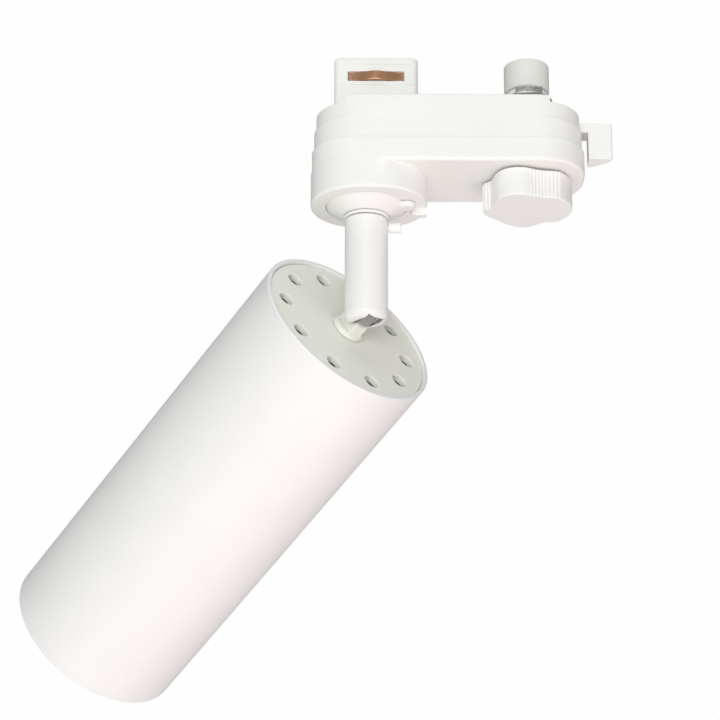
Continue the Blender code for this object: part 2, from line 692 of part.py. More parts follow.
def phase_carrier(parent):
    bore = SPINDLE_RADIUS + GAP
    edge = 0.8 * MM
    profile = [(bore, CARRIER_BOTTOM_Z), (CARRIER_RADIUS, CARRIER_BOTTOM_Z),
               (CARRIER_RADIUS, CARRIER_TOP_Z - edge), (CARRIER_RADIUS - edge, CARRIER_TOP_Z),
               (0, CARRIER_TOP_Z), (0, CARRIER_TOP_Z - 1.7 * MM), (bore, CARRIER_TOP_Z - 1.7 * MM)]
    carrier = piece("phase_carrier", turned(profile, MIDDLE), INNER_PLASTIC, parent)
    middle = (CARRIER_BOTTOM_Z + CARRIER_TOP_Z) / 2
    half_height = CONTACT_HEIGHT / 2 + GAP
    cut(carrier, box((-3.2 * MM, 4.6 * MM, middle - half_height), (3.2 * MM, 9 * MM, middle + half_height)))
    outline = [(-2.8 * MM, 5.0 * MM), (2.8 * MM, 5.0 * MM), (2.8 * MM, 8.2 * MM)]
    outline += arc(1.6 * MM, radians(20), radians(140), 5, (0, 9.2 * MM))
    outline += [(-2.8 * MM, 8.2 * MM)]
    shape = prism(outline, middle - CONTACT_HEIGHT / 2, middle + CONTACT_HEIGHT / 2)
    piece("phase_contact", shape, COPPER, parent)


# Swivel and stem ----------------------------------------------------------

def swivel_base(parent):
    top = RECESS_Z - GAP
    bore = NIPPLE_RADIUS + GAP
    profile = [(bore, top), (SWIVEL_RADIUS, top), (SWIVEL_RADIUS, SWIVEL_EDGE_Z),
               (SWIVEL_RADIUS - 0.7 * MM, SWIVEL_EDGE_Z - 0.7 * MM),
               (CONE_RADIUS, CONE_BOTTOM_Z), (bore, CONE_BOTTOM_Z)]
    base = piece("swivel_base", turned(profile, LARGE), WHITE_PLASTIC, parent)
    ear_top = BOSS_BOTTOM_Z - GAP
    shape = loft([(circle(EAR_RADIUS, SMALL), ear_top),
                  (circle(EAR_RADIUS, SMALL), EAR_BOTTOM_Z + 0.4 * MM),
                  (circle(EAR_RADIUS * 0.85, SMALL), EAR_BOTTOM_Z)])
    join(base, shape, (EAR_CENTRE * cos(EAR_AZIMUTH), EAR_CENTRE * sin(EAR_AZIMUTH), 0))


def swivel_fasteners(parent):
    bore = NIPPLE_RADIUS + GAP
    shape = ring(NIPPLE_BORE, NIPPLE_RADIUS, NIPPLE_BOTTOM_Z, NIPPLE_TOP_Z, MIDDLE)
    piece("threaded_nipple", shape, BRASS, parent)
    washer_top = BOSS_FLOOR_Z + 1.1 * MM
    shape = ring(bore, 9.5 * MM, BOSS_FLOOR_Z + GAP, washer_top, MIDDLE)
    piece("friction_washer", shape, STEEL, parent)
    hexagon = circle(NUT_ACROSS_FLATS / 2 / cos(pi / 6), 6)
    nut_top = washer_top + GAP + 3.6 * MM
    nut = piece("swivel_nut", prism(hexagon, washer_top + GAP, nut_top), STEEL, parent)
    cut(nut, disc(bore, washer_top - MM, nut_top + MM, MIDDLE))
    collar_top = CONE_BOTTOM_Z - 0.2 * MM
    shape = ring(bore, COLLAR_RADIUS, collar_top - COLLAR_HEIGHT, collar_top, MIDDLE)
    piece("stem_collar", shape, WHITE_PAINT, parent)


def stem(parent):
    """Tube with a round-edged end; its frame is on the stem's axis at the pivot's height."""
    top = STEM_TOP_Z - PIVOT_Z
    bore_end = top - STEM_BORE_DEPTH
    corner = (STEM_RADIUS - STEM_END_ROUND, STEM_END_ROUND - STEM_END)
    end = arc(STEM_END_ROUND, 0, -pi / 2, 4, corner)
    chamfer = 0.4 * MM
    profile = [(STEM_BORE, top), (STEM_RADIUS - chamfer, top), (STEM_RADIUS, top - chamfer)]
    profile += end + [(0, -STEM_END), (0, WIRE_BORE_END), (WIRE_BORE, WIRE_BORE_END)]
    profile += [(WIRE_BORE, bore_end - 1.5 * MM), (STEM_BORE, bore_end)]
    body = piece("stem", turned(profile, MIDDLE), WHITE_PAINT, parent)
    half = SLOT_WIDTH / 2
    reach = STEM_RADIUS + MM
    cut(body, prism(slot_outline(reach), -half, half), rotation=(pi / 2, 0, pi / 2))
    hole = PIVOT_RADIUS + GAP
    across = (0, pi / 2, 0)
    cut(body, disc(hole, -half - 2.3 * MM, half + 5 * MM, SMALL), rotation=across)
    counterbore = PIVOT_HEAD_RADIUS + GAP
    seat = STEM_RADIUS - PIVOT_HEAD_DEPTH
    cut(body, disc(counterbore, seat, reach, SMALL), rotation=across)
    lock_hole = disc(LOCK_SCREW_RADIUS + GAP, 3 * MM, 9 * MM, SMALL)
    turn_back = (0, pi / 2, pi / 2 - HEADING)
    cut(body, lock_hole, (0, 0, LOCK_SCREW_Z - PIVOT_Z), turn_back)
    shape = pivot_screw_shape(half, seat)
    piece("pivot_screw", shape, STEEL, parent, rotation=across)


def slot_outline(reach):
    """The tongue's space, seen along the tilt axis: closed behind, open below and in front."""
    outline = [(-SLOT_TOP, -reach)] + arc(SLOT_TOP, pi, -pi / 2, 5)
    return outline + [(reach, SLOT_TOP), (reach, -reach)]


def pivot_screw_shape(half, seat):
    """Pan head in the counterbore and a shank that stops inside the far cheek."""
    bottom = seat + GAP
    top = STEM_RADIUS - 0.3 * MM
    profile = [(0, -half - 2.0 * MM), (PIVOT_RADIUS, -half - 2.0 * MM), (PIVOT_RADIUS, bottom),
               (PIVOT_HEAD_RADIUS, bottom), (PIVOT_HEAD_RADIUS, top - 0.4 * MM),
               (PIVOT_HEAD_RADIUS - 0.6 * MM, top), (1.2 * MM, top),
               (1.2 * MM, bottom + 0.4 * MM), (0, bottom + 0.4 * MM)]
    return turned(profile, SMALL)


def stem_lock_screw(parent):
    tip = STEM_BORE + 0.1 * MM
    neck = STEM_RADIUS + 0.4 * MM
    edge = 0.4 * MM
    profile = [(0, tip), (LOCK_SCREW_RADIUS, tip), (LOCK_SCREW_RADIUS, neck), (LOCK_SCREW_HEAD, neck),
               (LOCK_SCREW_HEAD, LOCK_SCREW_REACH - edge), (LOCK_SCREW_HEAD - edge, LOCK_SCREW_REACH),
               (0, LOCK_SCREW_REACH)]
    shape = turned(profile, SMALL)
    piece("stem_lock_screw", shape, WHITE_PAINT, parent, (0, 0, LOCK_SCREW_Z), (0, pi / 2, 0))


# Lamp head ----------------------------------------------------------------

def knuckle(parent):
    """Tongue, foot and hollow shank; X is the tilt axis and +Z the beam."""
    half = TONGUE_WIDTH / 2
    outline = arc(half, radians(110), radians(140), 10)
    outline += [(FOOT_TOP + 0.8 * MM, 0.5 * MM - half), (FOOT_TOP + 0.8 * MM, half - 0.5 * MM)]
    thickness = TONGUE_THICKNESS / 2
    shape = prism(outline, -thickness, thickness)
    tongue = piece("knuckle", shape, GREY_PAINT, parent, rotation=(0, -pi / 2, 0))
    foot_end = CAP_FACE - GAP
    edge = 0.5 * MM
    profile = [(0, FOOT_TOP), (FOOT_RADIUS - edge, FOOT_TOP), (FOOT_RADIUS, FOOT_TOP + edge),
               (FOOT_RADIUS, foot_end), (SHANK_RADIUS, foot_end), (SHANK_RADIUS, SHANK_END),
               (0, SHANK_END)]
    join(tongue, turned(profile, MIDDLE))
    cut(tongue, disc(PIVOT_RADIUS + GAP, -2 * thickness, 2 * thickness, SMALL), rotation=(0, pi / 2, 0))
    cut(tongue, disc(LEAD_RADIUS + 0.5 * MM, 5.5 * MM, SHANK_END + MM, SMALL))


def knuckle_fasteners(parent):
    bore = SHANK_RADIUS + GAP
    washer_start = CAP_FACE + CAP_THICKNESS + GAP
    washer_end = washer_start + 0.8 * MM
    piece("knuckle_washer", ring(bore, 8 * MM, washer_start, washer_end, MIDDLE), STEEL, parent)
    nut_start = washer_end + GAP
    hexagon = circle(6.5 * MM / cos(pi / 6), 6)
    nut = piece("knuckle_nut", prism(hexagon, nut_start, nut_start + 4 * MM), STEEL, parent)
    cut(nut, disc(bore, nut_start - MM, nut_start + 5 * MM, SMALL))
    start = TONGUE_THICKNESS / 2 + GAP
    for name, side in (("pivot_washer_left", -1), ("pivot_washer_right", 1)):
        near, far = sorted((side * start, side * (start + 0.4 * MM)))
        shape = ring(PIVOT_RADIUS + GAP, 4.6 * MM, near, far, SMALL)
        piece(name, shape, INNER_PLASTIC, parent, rotation=(0, pi / 2, 0))


def rear_cap(parent):
    back = CAP_FACE + CAP_THICKNESS
    end = CAP_FACE + CAP_SKIRT
    edge = 0.4 * MM
    profile = [(0, CAP_FACE), (CAP_RADIUS - edge, CAP_FACE), (CAP_RADIUS, CAP_FACE + edge),
               (CAP_RADIUS, end), (CAP_SKIRT_BORE, end), (CAP_SKIRT_BORE, back), (0, back)]
    cap = piece("rear_cap", turned(profile, LARGE), WHITE_PAINT, parent)
    cut(cap, disc(SHANK_RADIUS + GAP, CAP_FACE - MM, back + MM, SMALL))
    for index in range(VENT_COUNT):
        angle = VENT_PHASE + 2 * pi * index / VENT_COUNT
        spot = (VENT_CIRCLE * cos(angle), VENT_CIRCLE * sin(angle), 0)
        cut(cap, disc(VENT_RADIUS, CAP_FACE - MM, back + MM, VENT_CORNERS), spot)


def body_tube(parent):
    edge = 0.4 * MM
    profile = [(HEAD_BORE, HEAD_BACK), (HEAD_RADIUS - edge, HEAD_BACK), (HEAD_RADIUS, HEAD_BACK + edge),
               (HEAD_RADIUS, HEAD_FRONT - edge), (HEAD_RADIUS - edge, HEAD_FRONT),
               (HEAD_BORE, HEAD_FRONT)]
    piece("body_tube", turned(profile, LARGE), WHITE_PAINT, parent)


def driver(parent):
    """The mains driver in its insulating tray, between the cap and the heat sink."""
    half_width, floor, wall = TRAY_HALF_WIDTH, TRAY_FLOOR, TRAY_WALL
    rim = floor + TRAY_SIDE
    outline = [(-half_width, floor), (half_width, floor), (half_width, rim),
               (half_width - wall, rim), (half_width - wall, floor + wall),
               (-half_width + wall, floor + wall), (-half_width + wall, rim), (-half_width, rim)]
    piece("driver_tray", prism(outline, DRIVER_START, DRIVER_END), INNER_PLASTIC, parent)
    board_low = floor + wall + GAP
    board_top = board_low + BOARD_THICKNESS
    half_board = half_width - wall - GAP
    shape = box((-half_board, board_low, DRIVER_START + MM), (half_board, board_top, DRIVER_END - MM))
    piece("driver_board", shape, GREEN_BOARD, parent)
    base = board_top + GAP
    shape = box((TRANSFORMER_LEFT, base, TRANSFORMER_START),
                (TRANSFORMER_RIGHT, base + TRANSFORMER_HEIGHT, TRANSFORMER_END))
    piece("driver_transformer", shape, YELLOW_TAPE, parent)
    for name, radius, height, across, along in CANS:
        finish = BLACK_PLASTIC if name == "driver_choke" else BLUE_SLEEVE
        shape = disc(radius, 0, height, SMALL)
        piece(name, shape, finish, parent, (across, base, along), (-pi / 2, 0, 0))


def fin_outline():
    """Star of flat-tipped fins round a core."""
    points = []
    tip_half = asin(FIN_THICKNESS / 2 / FIN_TIP)
    root_half = asin(FIN_THICKNESS / 2 / FIN_ROOT)
    for index in range(FIN_COUNT):
        angle = 2 * pi * (index + 0.5) / FIN_COUNT
        for radius, offset in ((FIN_ROOT, -root_half), (FIN_TIP, -tip_half),
                               (FIN_TIP, tip_half), (FIN_ROOT, root_half)):
            points.append((radius * cos(angle + offset), radius * sin(angle + offset)))
    return points


def light_engine(parent):
    """Heat sink, LED board, emitter and the holder that clamps them."""
    sink = piece("heat_sink", prism(fin_outline(), HEAT_SINK_START, HEAT_SINK_END), ALUMINIUM, parent)
    board_start = HEAT_SINK_END + GAP
    board_end = board_start + LED_BOARD_THICKNESS
    piece("led_board", disc(LED_BOARD_RADIUS, board_start, board_end, MIDDLE), CERAMIC, parent)
    emitter_start = board_end + GAP
    emitter_end = emitter_start + EMITTER_THICKNESS
    piece("led_emitter", disc(EMITTER_RADIUS, emitter_start, emitter_end, MIDDLE), PHOSPHOR, parent)
    holder_end = REFLECTOR_BACK - GAP
    shape = ring(HOLDER_BORE, HOLDER_RADIUS, board_start, holder_end, MIDDLE)
    holder = piece("led_holder", shape, CERAMIC, parent)
    hole = HOLDER_SCREW_RADIUS + GAP
    for index, side in enumerate((-1, 1)):
        spot = (side * HOLDER_SCREW_CIRCLE, 0, 0)
        cut(holder, disc(hole, board_start - MM, holder_end + MM, SMALL), spot, OFF_EDGES)
        well = disc(hole, HEAT_SINK_END - HOLDER_SCREW_WELL, HEAT_SINK_END + MM, SMALL)
        cut(sink, well, spot, OFF_EDGES)
        shape = screw(*HOLDER_SCREW, SMALL)
        piece(f"holder_screw_{index + 1}", shape, STEEL, parent, (spot[0], 0, holder_end + GAP))


def reflector(parent):
    """Spun bowl that opens from the emitter to the lens."""
    start = REFLECTOR_BACK + REFLECTOR_COLLAR
    inner, outer = [], []
    for step in range(REFLECTOR_STEPS + 1):
        t = step / REFLECTOR_STEPS
        along = start + (REFLECTOR_FRONT - start) * t
        radius = REFLECTOR_THROAT + (REFLECTOR_MOUTH - REFLECTOR_THROAT) * t ** REFLECTOR_FLARE
        inner.append((radius, along))
        outer.append((radius + REFLECTOR_WALL, along))
    inner.insert(0, (REFLECTOR_THROAT, REFLECTOR_BACK))
    outer.insert(0, (REFLECTOR_THROAT + REFLECTOR_WALL, REFLECTOR_BACK))
    piece("reflector", turned(inner + outer[::-1], MIDDLE), ALUMINIUM, parent)


def front_glass(parent):
    fit = HEAD_BORE - GAP
    seal_start = REFLECTOR_FRONT + GAP
    shape = ring(SEAL_BORE, fit, seal_start, LENS_BACK - GAP, LARGE)
    piece("lens_seal", shape, SILICONE, parent)
    lens_end = LENS_BACK + LENS_THICKNESS
    piece("front_lens", disc(fit, LENS_BACK, lens_end, LARGE), GLASS, parent)
    start = lens_end + GAP
    end = HEAD_FRONT - RING_SINK
    profile = [(RING_BORE, start), (fit, start), (fit, end), (RING_MOUTH, end)]
    piece("front_ring", turned(profile, LARGE), BLACK_PLASTIC, parent)


def in_metres(route):
    return [tuple(part * MM for part in point) for point in route]


def leads(adapter, swivel, head):
    """The mains lead, in one stretch for each moving body, and the lead to the LED."""
    tube("adapter_lead", in_metres(ADAPTER_ROUTE), LEAD_RADIUS, WHITE_PLASTIC, adapter)
    tube("stem_lead", in_metres(STEM_ROUTE), LEAD_RADIUS, WHITE_PLASTIC, swivel)
    tube("head_lead", in_metres(HEAD_ROUTE), LEAD_RADIUS, WHITE_PLASTIC, head)
    tube("led_lead", in_metres(LED_ROUTE), LED_LEAD_RADIUS, BLACK_PLASTIC, head)


def build():
    clear_scene()
    adapter = frame("adapter_frame")
    upper_housing(adapter)
    lower_housing(adapter)
    end_screw(adapter)
    contact_carrier(adapter)
    terminal_block(adapter)

    turret = frame("turret_axis", adapter, (TURRET_X, 0, 0))
    lock_lever(turret)
    lock_sleeve(turret)
    lock_cam(turret)
    selector_knob(turret)
    selector_shaft(turret)
    phase_carrier(turret)

    swivel = frame("swivel_axis", adapter, (SWIVEL_X, 0, 0))
    swivel_base(swivel)
    swivel_fasteners(swivel)
    stem_lock_screw(swivel)
    fork = frame("fork_frame", swivel, (0, 0, PIVOT_Z), (0, 0, HEADING - pi / 2))
    stem(fork)

    head = frame("tilt_axis", fork, rotation=(pi + TILT, 0, 0))
    knuckle(head)
    knuckle_fasteners(head)
    rear_cap(head)
    body_tube(head)
    driver(head)
    light_engine(head)
    reflector(head)
    front_glass(head)
    leads(adapter, swivel, head)


build()
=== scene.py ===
"""Looks of a track lighting fixture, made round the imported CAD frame.

Lengths are in metres. Places and sizes come from the frame's joints and from the boxes of
its nodes. What the frame doesn't hold, such as edge rounds and grooves, is named below.
"""

import json
from math import asin, cos, hypot, pi, radians, sin

import bmesh
import bpy
from mathutils import Matrix, Vector

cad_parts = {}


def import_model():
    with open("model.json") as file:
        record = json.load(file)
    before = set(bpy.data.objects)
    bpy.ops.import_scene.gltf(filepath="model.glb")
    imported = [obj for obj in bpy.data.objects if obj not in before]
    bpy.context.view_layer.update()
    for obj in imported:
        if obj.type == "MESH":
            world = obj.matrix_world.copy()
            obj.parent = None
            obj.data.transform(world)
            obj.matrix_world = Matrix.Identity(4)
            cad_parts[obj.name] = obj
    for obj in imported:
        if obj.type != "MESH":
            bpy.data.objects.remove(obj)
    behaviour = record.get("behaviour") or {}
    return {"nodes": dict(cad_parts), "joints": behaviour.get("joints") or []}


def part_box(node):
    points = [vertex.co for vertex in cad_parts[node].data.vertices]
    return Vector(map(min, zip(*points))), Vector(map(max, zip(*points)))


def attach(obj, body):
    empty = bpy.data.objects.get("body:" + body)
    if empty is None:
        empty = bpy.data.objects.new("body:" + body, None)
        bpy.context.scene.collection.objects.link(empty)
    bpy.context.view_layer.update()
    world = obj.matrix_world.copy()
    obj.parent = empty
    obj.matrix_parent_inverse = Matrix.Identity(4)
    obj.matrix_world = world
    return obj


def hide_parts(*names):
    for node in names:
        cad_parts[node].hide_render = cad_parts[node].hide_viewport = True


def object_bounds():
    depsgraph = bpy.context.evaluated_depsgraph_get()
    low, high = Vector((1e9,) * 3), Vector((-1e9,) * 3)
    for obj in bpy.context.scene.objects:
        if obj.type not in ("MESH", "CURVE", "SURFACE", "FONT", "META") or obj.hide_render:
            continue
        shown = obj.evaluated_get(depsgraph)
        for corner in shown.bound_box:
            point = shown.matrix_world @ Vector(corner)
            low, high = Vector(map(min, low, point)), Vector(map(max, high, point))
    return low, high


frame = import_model()
CAD_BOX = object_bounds()

MM = 0.001
GAP = 0.3 * MM
CUTTER_PAST = 2 * MM

# Steps round a full turn, from the lamp's tube down to small pieces, and then round corners,
# edges and arcs.
TUBE_STEPS = 192
LARGE = 160
MIDDLE = 96
SMALL = 48
CORNER_STEPS = 16
BOSS_STEPS = 36
ROUND_STEPS = 5
FINE_ROUND_STEPS = 8
ARC_STEPS = 40
HALF_ARC_STEPS = 20
SMOOTH_ANGLE = radians(32)
BEVEL_ANGLE = radians(50)

# Camera: where it stands, how far it looks up, and its small turns. The lens is in mm.
CAMERA_PLACE = (-27.35 * MM, -755.51 * MM, -355.04 * MM)
CAMERA_PITCH = radians(19.53)
CAMERA_YAW = radians(0.128)
CAMERA_ROLL = radians(0.216)
CAMERA_LENS = 123.63
SENSOR_WIDTH = 36.0

# Light from all round, as it is at the left and at the right.
AMBIENT_LEFT = (0.325, 0.34, 0.335)
AMBIENT_RIGHT = (0.33, 0.33, 0.315)

# Lights: name, place from the object's middle and size in metres, power in watts, colour.
LIGHTS = (
    ("key", (-0.2, -2.0, -0.2), 1.5, 21.8, (0.99, 1.0, 0.985)),
    ("top", (0.2, -0.6, 1.9), 1.6, 6.5, (1.0, 1.0, 1.0)),
    ("bounce", (0.7, -0.2, -1.2), 1.0, 3.2, (1.0, 0.66, 0.73)),
)

# Floor.
GROUND_RADIUS = 14.0
GROUND_Z = -1.5
GROUND_GLOW = (1.0, 0.95, 0.955)
GROUND_GLOW_STRENGTH = 0.33

# Where a noise pattern starts and ends its change of tone, and of gloss.
TINT_BAND = (0.32, 0.68)
GLOSS_BAND = (0.3, 0.7)

# Housing and its end screw.
TIER_STEP = 0.7 * MM
CORNER_RADIUS = 15.5 * MM
LOW_CORNER_RADIUS = 17.4 * MM
UNDERSIDE_Z = -24.0 * MM
SEAM_GAP = 0.1 * MM
WALL = 1.8 * MM
FLOOR = 2.0 * MM
TOP_PLATE_Z = -3.6 * MM
PAD_START = -34.3 * MM
PAD_END = 33.3 * MM
PAD_HEIGHT = 2.4 * MM
STEP_Z = -8.4 * MM
STEP_HALF = 0.05 * MM
STEP_FLARE = 0.6 * MM
STEP_UNDERCUT = 0.3 * MM
GROOVE_Z = -1.7 * MM
GROOVE_HALF = 0.14 * MM
GROOVE_DEPTH = 0.12 * MM
TOP_ROUND = 0.5 * MM
SEAM_ROUND = 0.2 * MM
BOTTOM_ROUND = 1.2 * MM
UPPER_EDGE = 0.3 * MM
LOWER_EDGE = 0.25 * MM
END_SCREW_SINK = 0.3 * MM
END_SCREW_RADIUS = 1.4 * MM
END_SCREW_HEAD_HEIGHT = 0.9 * MM
END_SCREW_SOCKET = 1.1 * MM
END_SCREW_HOLE = 1.7 * MM
END_SCREW_SEAT = 1.7 * MM
END_SCREW_DEPTH = 3.5 * MM
WINDOW_INNER = 12.0 * MM
WINDOW_OUTER = 26.0 * MM
WINDOW_MARGIN = radians(15)
WINDOW_STEPS = 24

# Neck block and its contacts.
STRIPS = ("neutral_contact", "earth_contact")
NECK_CORNER = 2.0 * MM
NECK_ROUND = 1.0 * MM
NECK_EDGE = 0.2 * MM
NECK_GROOVES = (7.6 * MM, 15.2 * MM)
NECK_GROOVE_HALF = 0.3 * MM
NECK_GROOVE_DEPTH = 0.35 * MM
CONTACT_THICKNESS = 0.8 * MM
CONTACT_EDGE = 0.15 * MM

# Boss, with the swivel's recess and the stop lug.
BOSS_SHIFT = 0.8 * MM
BOSS_HALF_LENGTH = 19.3 * MM
BOSS_CORNER = 17.0 * MM
BOSS_INSET = 0.02 * MM
BOSS_ROUND = 1.0 * MM
BOSS_ROOT_Z = UNDERSIDE_Z + 0.7 * FLOOR
NIPPLE_CLEARANCE = 0.4 * MM
BOSS_BORE = 16.2 * MM
BOSS_BOTTOM_Z = -33.6 * MM
BOSS_FLOOR_Z = -28.8 * MM
RECESS_Z = -31.4 * MM
RECESS_GAP = 0.12 * MM
LUG_START = radians(1)
LUG_SWEEP = radians(10)
LUG_INNER = 14.4 * MM
LUG_OUTER = 19.25 * MM
LUG_ROUND = 0.35 * MM
LUG_STEPS = 12

# Screw heads: the tip as a share of the shank's radius, and the rounded edge and the socket
# as shares of the head's height.
SCREW_TIP_SHARE = 0.8
SCREW_EDGE_SHARE = 0.3
SCREW_SOCKET_SHARE = 0.6
SCREW_TIP = 0.3 * MM
SCREW_EDGE = 0.15 * MM

# Swivel base, stem and fasteners.
EDGE_BAND_Z = -33.4 * MM
BASE_ROUND = 0.5 * MM
COLLAR_ROUND = 0.3 * MM
CONE_RADIUS = 8.2 * MM
CONE_CHAMFER = 0.7 * MM
EAR_AZIMUTH = radians(-18)
EAR_CENTRE = 13.9 * MM
EAR_RADIUS = 2.8 * MM
EAR_BOTTOM_Z = -35.6 * MM
EAR_ROUND = 1.0 * MM
STEM_RADIUS = 7.09 * MM
STEM_END = 5.3 * MM
STEM_END_ROUND = 2.6 * MM
STEM_TOP_ROUND = 0.4 * MM
STEM_EDGE = 0.3 * MM
STEM_BORE = 5.2 * MM
STEM_BORE_DEPTH = 17.0 * MM
STEM_BORE_TAPER = 1.5 * MM
WIRE_BORE = 3.0 * MM
WIRE_BORE_END = 2.8 * MM
SLOT_WIDTH = 7.0 * MM
SLOT_TOP = 5.3 * MM
PIVOT_RADIUS = 2.0 * MM
PIVOT_TIP = 2.3 * MM
PIVOT_WALL = 5.0 * MM
PIVOT_HEAD_RADIUS = 3.3 * MM
PIVOT_HEAD_DEPTH = 2.0 * MM
PIVOT_SOCKET = 1.2 * MM
LOCK_SCREW_RADIUS = 1.1 * MM
LOCK_SCREW_HOLE = 1.4 * MM
LOCK_SCREW_HOLE_ENDS = (3.0 * MM, 9.0 * MM)
LOCK_SCREW_NECK = 7.5 * MM
LOCK_SCREW_SOCKET = 0.7 * MM
LOCK_SCREW_SOCKET_DEPTH = 1.2 * MM
LOCK_SCREW_ROUND = 0.5 * MM

# Selector knob: crests and hollows of its rim, as azimuth in degrees and radius in mm.
KNOB_RIM = ((-165, 13.0), (-120, 15.2), (-72, 12.2), (-44, 14.1), (0, 14.3),
            (38, 14.1), (62, 11.9), (95, 14.7), (138, 13.3), (176, 15.4))
KNOB_POINTS = 720
KNOB_ROUND = 0.6 * MM
KNOB_DROP = 0.25 * MM
KNOB_TOP_ROUND = 0.3 * MM
KNOB_FACE = 2.7 * MM
# Where its rim is ribbed, as (first, last) azimuth in degrees, and the ribs themselves.
RIBBED = ((-95, -44), (46, 78), (171, 195))
RIB_FADE = 5
RIB_COUNT = 66
RIB_DEPTH = 0.30 * MM

# Lever, sleeve and cam.
SLEEVE_RADIUS = 7.0 * MM
SLEEVE_BORE = 3.6 * MM
SLEEVE_ROUND = 0.5 * MM
ARM_HALF_WIDTH = 3.5 * MM
ARM_START = 9.0 * MM
ARM_END = 22.0 * MM
ARM_INSET = 0.02 * MM
LEVER_EDGE = 0.4 * MM
PADDLE_INNER = 20.0 * MM
PADDLE_ROOT = 4.0 * MM
PADDLE_HALF_WAIST = 1.6 * MM
PADDLE_CHAMFER = 0.8 * MM
PADDLE_CORNER = 0.3 * MM
PADDLE_TIP = 0.4 * MM
ARM_BOTTOM_Z = -7.5 * MM
CAM_RING = 8.6 * MM
CAM_HALF_WIDTH = 4.5 * MM
CAM_EDGE = 0.3 * MM
WING_SHARE = 0.62
CARRIER_ROUND = 0.8 * MM
CARRIER_ROOF = 1.7 * MM
PHASE_CLEARANCE = 0.4 * MM
PHASE_NOSE = 1.6 * MM
PHASE_NOSE_SWEEP = radians(140)
PHASE_SHOULDER = 3.2 * MM

# Lamp head. FOOT_TOP and LEAD_BORE_START are distances from the tilt pivot along the beam.
HEAD_BORE = 30.6 * MM
TUBE_ROUND = 0.5 * MM
CAP_ROUND = 0.4 * MM
CAP_THICKNESS = 1.6 * MM
CAP_FIT = 0.2 * MM
CAP_SKIRT_BORE = 28.2 * MM
VENT_COUNT = 10
VENT_RADIUS = 2.65 * MM
VENT_CIRCLE = 24.1 * MM
VENT_PHASE = radians(17.55)
VENT_CHAMFER = 0.2 * MM
VENT_DEPTH = 2.2 * MM
VENT_BAND = 7.2 * MM
TONGUE_WIDTH = 10.0 * MM
TONGUE_SWEEP = radians(140)
FOOT_RADIUS = 5.6 * MM
FOOT_TOP = 8.8 * MM
FOOT_ROUND = 1.0 * MM
SHANK_RADIUS = 4.0 * MM
TONGUE_HALF_THICKNESS = 2.5 * MM
TONGUE_SINK = 0.8 * MM
TONGUE_EDGE = 0.5 * MM
LEAD_BORE = 2.0 * MM
LEAD_BORE_START = 5.5 * MM

# Painted shade at the tilt pivot, a dull grey on the faces in the slot where the gap's shadow falls:
# how far it reaches and how softly it ends on each of the two pieces, and how far outside the slot's
# sides the coat starts.
KNUCKLE_SHADE_REACH = 6.6 * MM
KNUCKLE_SHADE_FADE = 0.5 * MM
STEM_SHADE_REACH = 6.95 * MM
STEM_SHADE_FADE = 0.05 * MM
SHADE_MASK_EDGE = 0.02 * MM

# Lamp front, and what shows through the lens.
RING_BORE = 28.2 * MM
RING_FLARE = 0.9 * MM
RING_STEPS = 4
RING_STEP_SHARE = 0.8
RING_STEP_UNDERCUT = 0.15 * MM
LENS_ROUND = 0.35 * MM
REFLECTOR_THROAT = 8.6 * MM
REFLECTOR_MOUTH = 28.4 * MM
REFLECTOR_WALL = 0.7 * MM
REFLECTOR_COLLAR = 2.0 * MM
REFLECTOR_BANDS = 9
REFLECTOR_FACETS = 40
REFLECTOR_FLARE = 0.62
EMITTER_DAM = 5.5 * MM
EMITTER_DROP = 0.15 * MM
DAM_ROUND = 0.15 * MM
HOLDER_BORE = 9.3 * MM
HOLDER_ROUND = 0.4 * MM
HOLDER_SCREW_HOLE = 1.4 * MM


# Shapes ---------------------------------------------------

def arc(radius, start, sweep, steps, centre=(0.0, 0.0)):
    """Points along an arc, both ends included."""
    points = []
    for step in range(steps + 1):
        angle = start + sweep * step / steps
        points.append((centre[0] + radius * cos(angle), centre[1] + radius * sin(angle)))
    return points


def circle(radius, count, phase=0.0):
    return arc(radius, phase, 2 * pi * (count - 1) / count, count - 1)


def rounding(radius, steps=ROUND_STEPS):
    """(inset, rise) pairs round a convex edge, from the flat face to the wall."""
    angles = [pi / 2 * step / steps for step in range(steps + 1)]
    return [(radius * (1 - sin(angle)), radius * (1 - cos(angle))) for angle in angles]


def rounded_rectangle(half_length, half_width, radius, left_radius=None, steps=CORNER_STEPS):
    """Outline of a rectangle with round corners, counter-clockwise."""
    points = []
    for x_side, y_side, start in ((1, 1, 0), (-1, 1, 90), (-1, -1, 180), (1, -1, 270)):
        corner = left_radius if left_radius and x_side < 0 else radius
        centre = (x_side * (half_length - corner), y_side * (half_width - corner))
        points += arc(corner, radians(start), pi / 2, steps, centre)
    return points


def loft(levels):
    """Skin equal outlines stacked on Z, given as (outline, height), and cap the ends."""
    shape = bmesh.new()
    rows = [[shape.verts.new((x, y, height)) for x, y in outline] for outline, height in levels]
    for low, high in zip(rows, rows[1:]):
        for i in range(len(low)):
            j = (i + 1) % len(low)
            shape.faces.new((low[i], low[j], high[j], high[i]))
    shape.faces.new(rows[0])
    shape.faces.new(rows[-1])
    return shape


def prism(outline, bottom, top):
    return loft([(outline, bottom), (outline, top)])


def rectangle(left, right, bottom, top):
    return [(left, bottom), (right, bottom), (right, top), (left, top)]


def block(low, high):
    return prism(rectangle(low[0], high[0], low[1], high[1]), low[2], high[2])


def disc(radius, bottom, top, count=SMALL):
    return prism(circle(radius, count), bottom, top)


